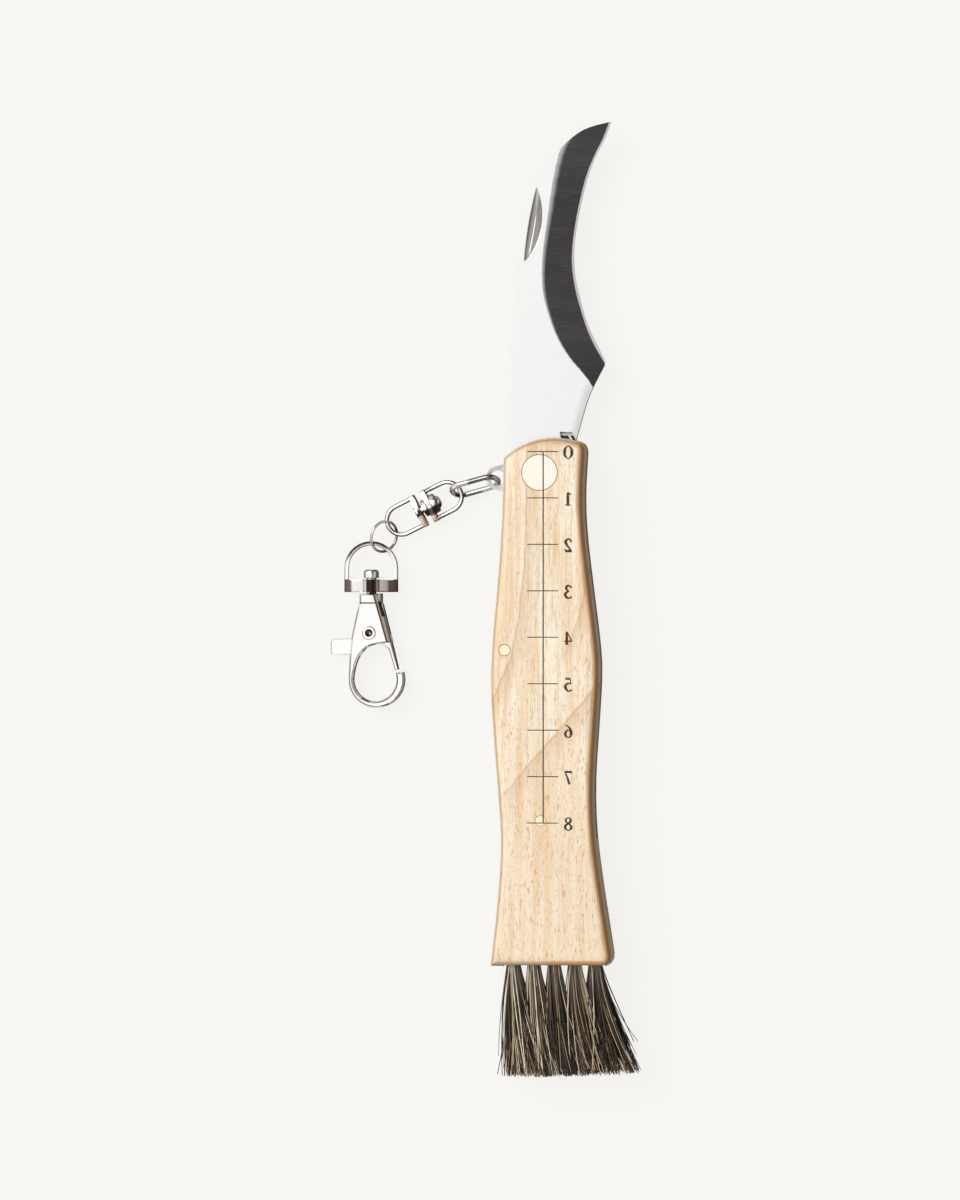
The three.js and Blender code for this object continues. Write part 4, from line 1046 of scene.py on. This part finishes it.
def ink_stroke(bm, points, place, top):
    """A closed ribbon of ink along the points; place turns a point into the object's x and y."""
    path = curved(points)
    edges = []
    for at, here in enumerate(path):
        before, after = path[max(at - 1, 0)], path[min(at + 1, len(path) - 1)]
        way = Vector((after.x - before.x, after.y - before.y)).normalized()
        across = Vector((-way.y, way.x)) * here.z * PEN / 2
        middle = Vector((here.x, here.y))
        edges.append((place(middle + across), place(middle - across)))
    low, high = FACE_HEIGHT - INK, top
    sections = [[bm.verts.new((*left, low)), bm.verts.new((*right, low)),
                 bm.verts.new((*right, high)), bm.verts.new((*left, high))]
                for left, right in edges]
    for one, two in zip(sections, sections[1:]):
        for corner in range(4):
            following = (corner + 1) % 4
            bm.faces.new((one[corner], one[following], two[following], two[corner]))
    bm.faces.new(sections[0])
    bm.faces.new(reversed(sections[-1]))


def digits_form(bm):
    for number, strokes in enumerate(DIGITS):
        base = RULE_TOP - number * RULE_STEP - DIGIT_HEIGHT * 0.5 - DIGIT_BELOW_TICK

        def place(point, base=base):
            across = (point.x - DIGIT_MIDDLE) * DIGIT_HEIGHT * DIGIT_WIDTH
            return DIGIT_X - across, base + point.y * DIGIT_HEIGHT

        for order, points in enumerate(strokes):
            top = FACE_HEIGHT + INK * (1 + STROKE_OVER_STROKE * order)
            ink_stroke(bm, points, place, top)


def rule_line_form(bm):
    bottom = RULE_TOP - RULE_STEPS * RULE_STEP - TICK_WIDTH / 2
    block(bm, (RULE_LINE, RULE_TOP - bottom, LINE_INK),
          (RULE_X, (RULE_TOP + bottom) / 2, FACE_HEIGHT))


line = solid("rule_line", rule_line_form, ink)
digits = solid("rule_digits", digits_form, ink)
for piece in (ticks, line, digits):
    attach(piece, "knife")


# Floor, light, camera

def make_floor():
    material = bpy.data.materials.new("pale_floor")
    material.use_nodes = True
    material.node_tree.nodes.clear()
    b = Board(material.node_tree)
    seen = b.out("ShaderNodeLightPath")
    plain = b.out("ShaderNodeEmission", None, {
        "Color": srgb(*BACKGROUND), "Strength": 1.0})
    lit = b.out("ShaderNodeBsdfDiffuse", None, {
        "Color": b.blend(seen, (0.34, 0.34, 0.34, 1), (0.92, 0.91, 0.89, 1))})
    shown = b.out("ShaderNodeMixShader", None, {0: seen * FLOOR_PLAIN, 1: lit, 2: plain})
    b.add("ShaderNodeOutputMaterial", None, {"Surface": shown})
    return material


def floor_form(bm):
    made = bmesh.ops.create_grid(bm, x_segments=1, y_segments=1, size=FLOOR_SIZE)["verts"]
    bmesh.ops.translate(bm, verts=made, vec=(0, 0, -FLOOR_DROP))


floor = solid("floor", floor_form, make_floor())

# The world: pale to the camera, bright with dark bands in reflections, softly lit from one side
world = bpy.data.worlds.new("studio")
bpy.context.scene.world = world
world.use_nodes = True
world.node_tree.nodes.clear()
b = Board(world.node_tree)
path = b.add("ShaderNodeLightPath")
way = Wire(b, b.add("ShaderNodeTexCoord").outputs["Generated"])
right, up = axis(b, way, 0), axis(b, way, 2)
dark_side = b.between(right, 0.04, 0.12) * b.between(right, 0.5, 0.85, 1.0, 0.0)
low = b.between(up, 0.36, 0.46, 0.2, 0.95) * b.between(up, 0.88, 0.6)
low = low * b.between(right, 0.7, 0.5)
window = b.between(right, -0.5, -0.75) * b.between(up, 0.1, 0.3)
shade = b.math("MAXIMUM", dark_side * 0.9, low * (1.0 - window))
reflected = b.blend(shade, (0.97, 0.97, 0.97, 1), (0.015, 0.014, 0.013, 1))
soft_light = b.blend(b.between(right, -0.3, 0.5), (0.84, 0.84, 0.85, 1), (0.08, 0.08, 0.085, 1))
ambient = b.blend(Wire(b, path.outputs["Is Glossy Ray"]), soft_light, reflected)
sky = b.blend(Wire(b, path.outputs["Is Camera Ray"]), ambient, srgb(*BACKGROUND))
background = b.out("ShaderNodeBackground", None, {"Color": sky, "Strength": 1.0})
b.add("ShaderNodeOutputWorld", None, {"Surface": background})


def lamp(name, towards, strength, angle):
    light = bpy.data.lights.new(name, "SUN")
    light.energy = strength
    light.angle = math.radians(angle)
    made = bpy.data.objects.new(name, light)
    made.rotation_mode = "QUATERNION"
    made.rotation_quaternion = Vector(towards).to_track_quat("-Z", "Y")
    bpy.context.scene.collection.objects.link(made)


lamp("key", towards=(0.55, -0.45, -1.0), strength=1.58, angle=35)
lamp("fill", towards=(-0.2, 0.5, -1.0), strength=0.3, angle=60)

camera = bpy.data.cameras.new("camera")
camera.sensor_width = 36
camera.lens = camera.sensor_width * CAMERA_DISTANCE / PICTURE_HEIGHT
camera.clip_start = 0.01
camera_object = bpy.data.objects.new("camera", camera)
back = Vector((math.sin(CAMERA_TILT), 0, math.cos(CAMERA_TILT)))
camera_object.location = PICTURE_CENTRE + back * CAMERA_DISTANCE
upwards = Vector((0, 1, 0))
turned = Matrix((upwards.cross(back), upwards, back)).transposed()
camera_object.rotation_mode = "QUATERNION"
camera_object.rotation_quaternion = turned.to_quaternion()
bpy.context.scene.collection.objects.link(camera_object)
bpy.context.scene.camera = camera_object
bpy.context.scene.view_settings.view_transform = "Standard"
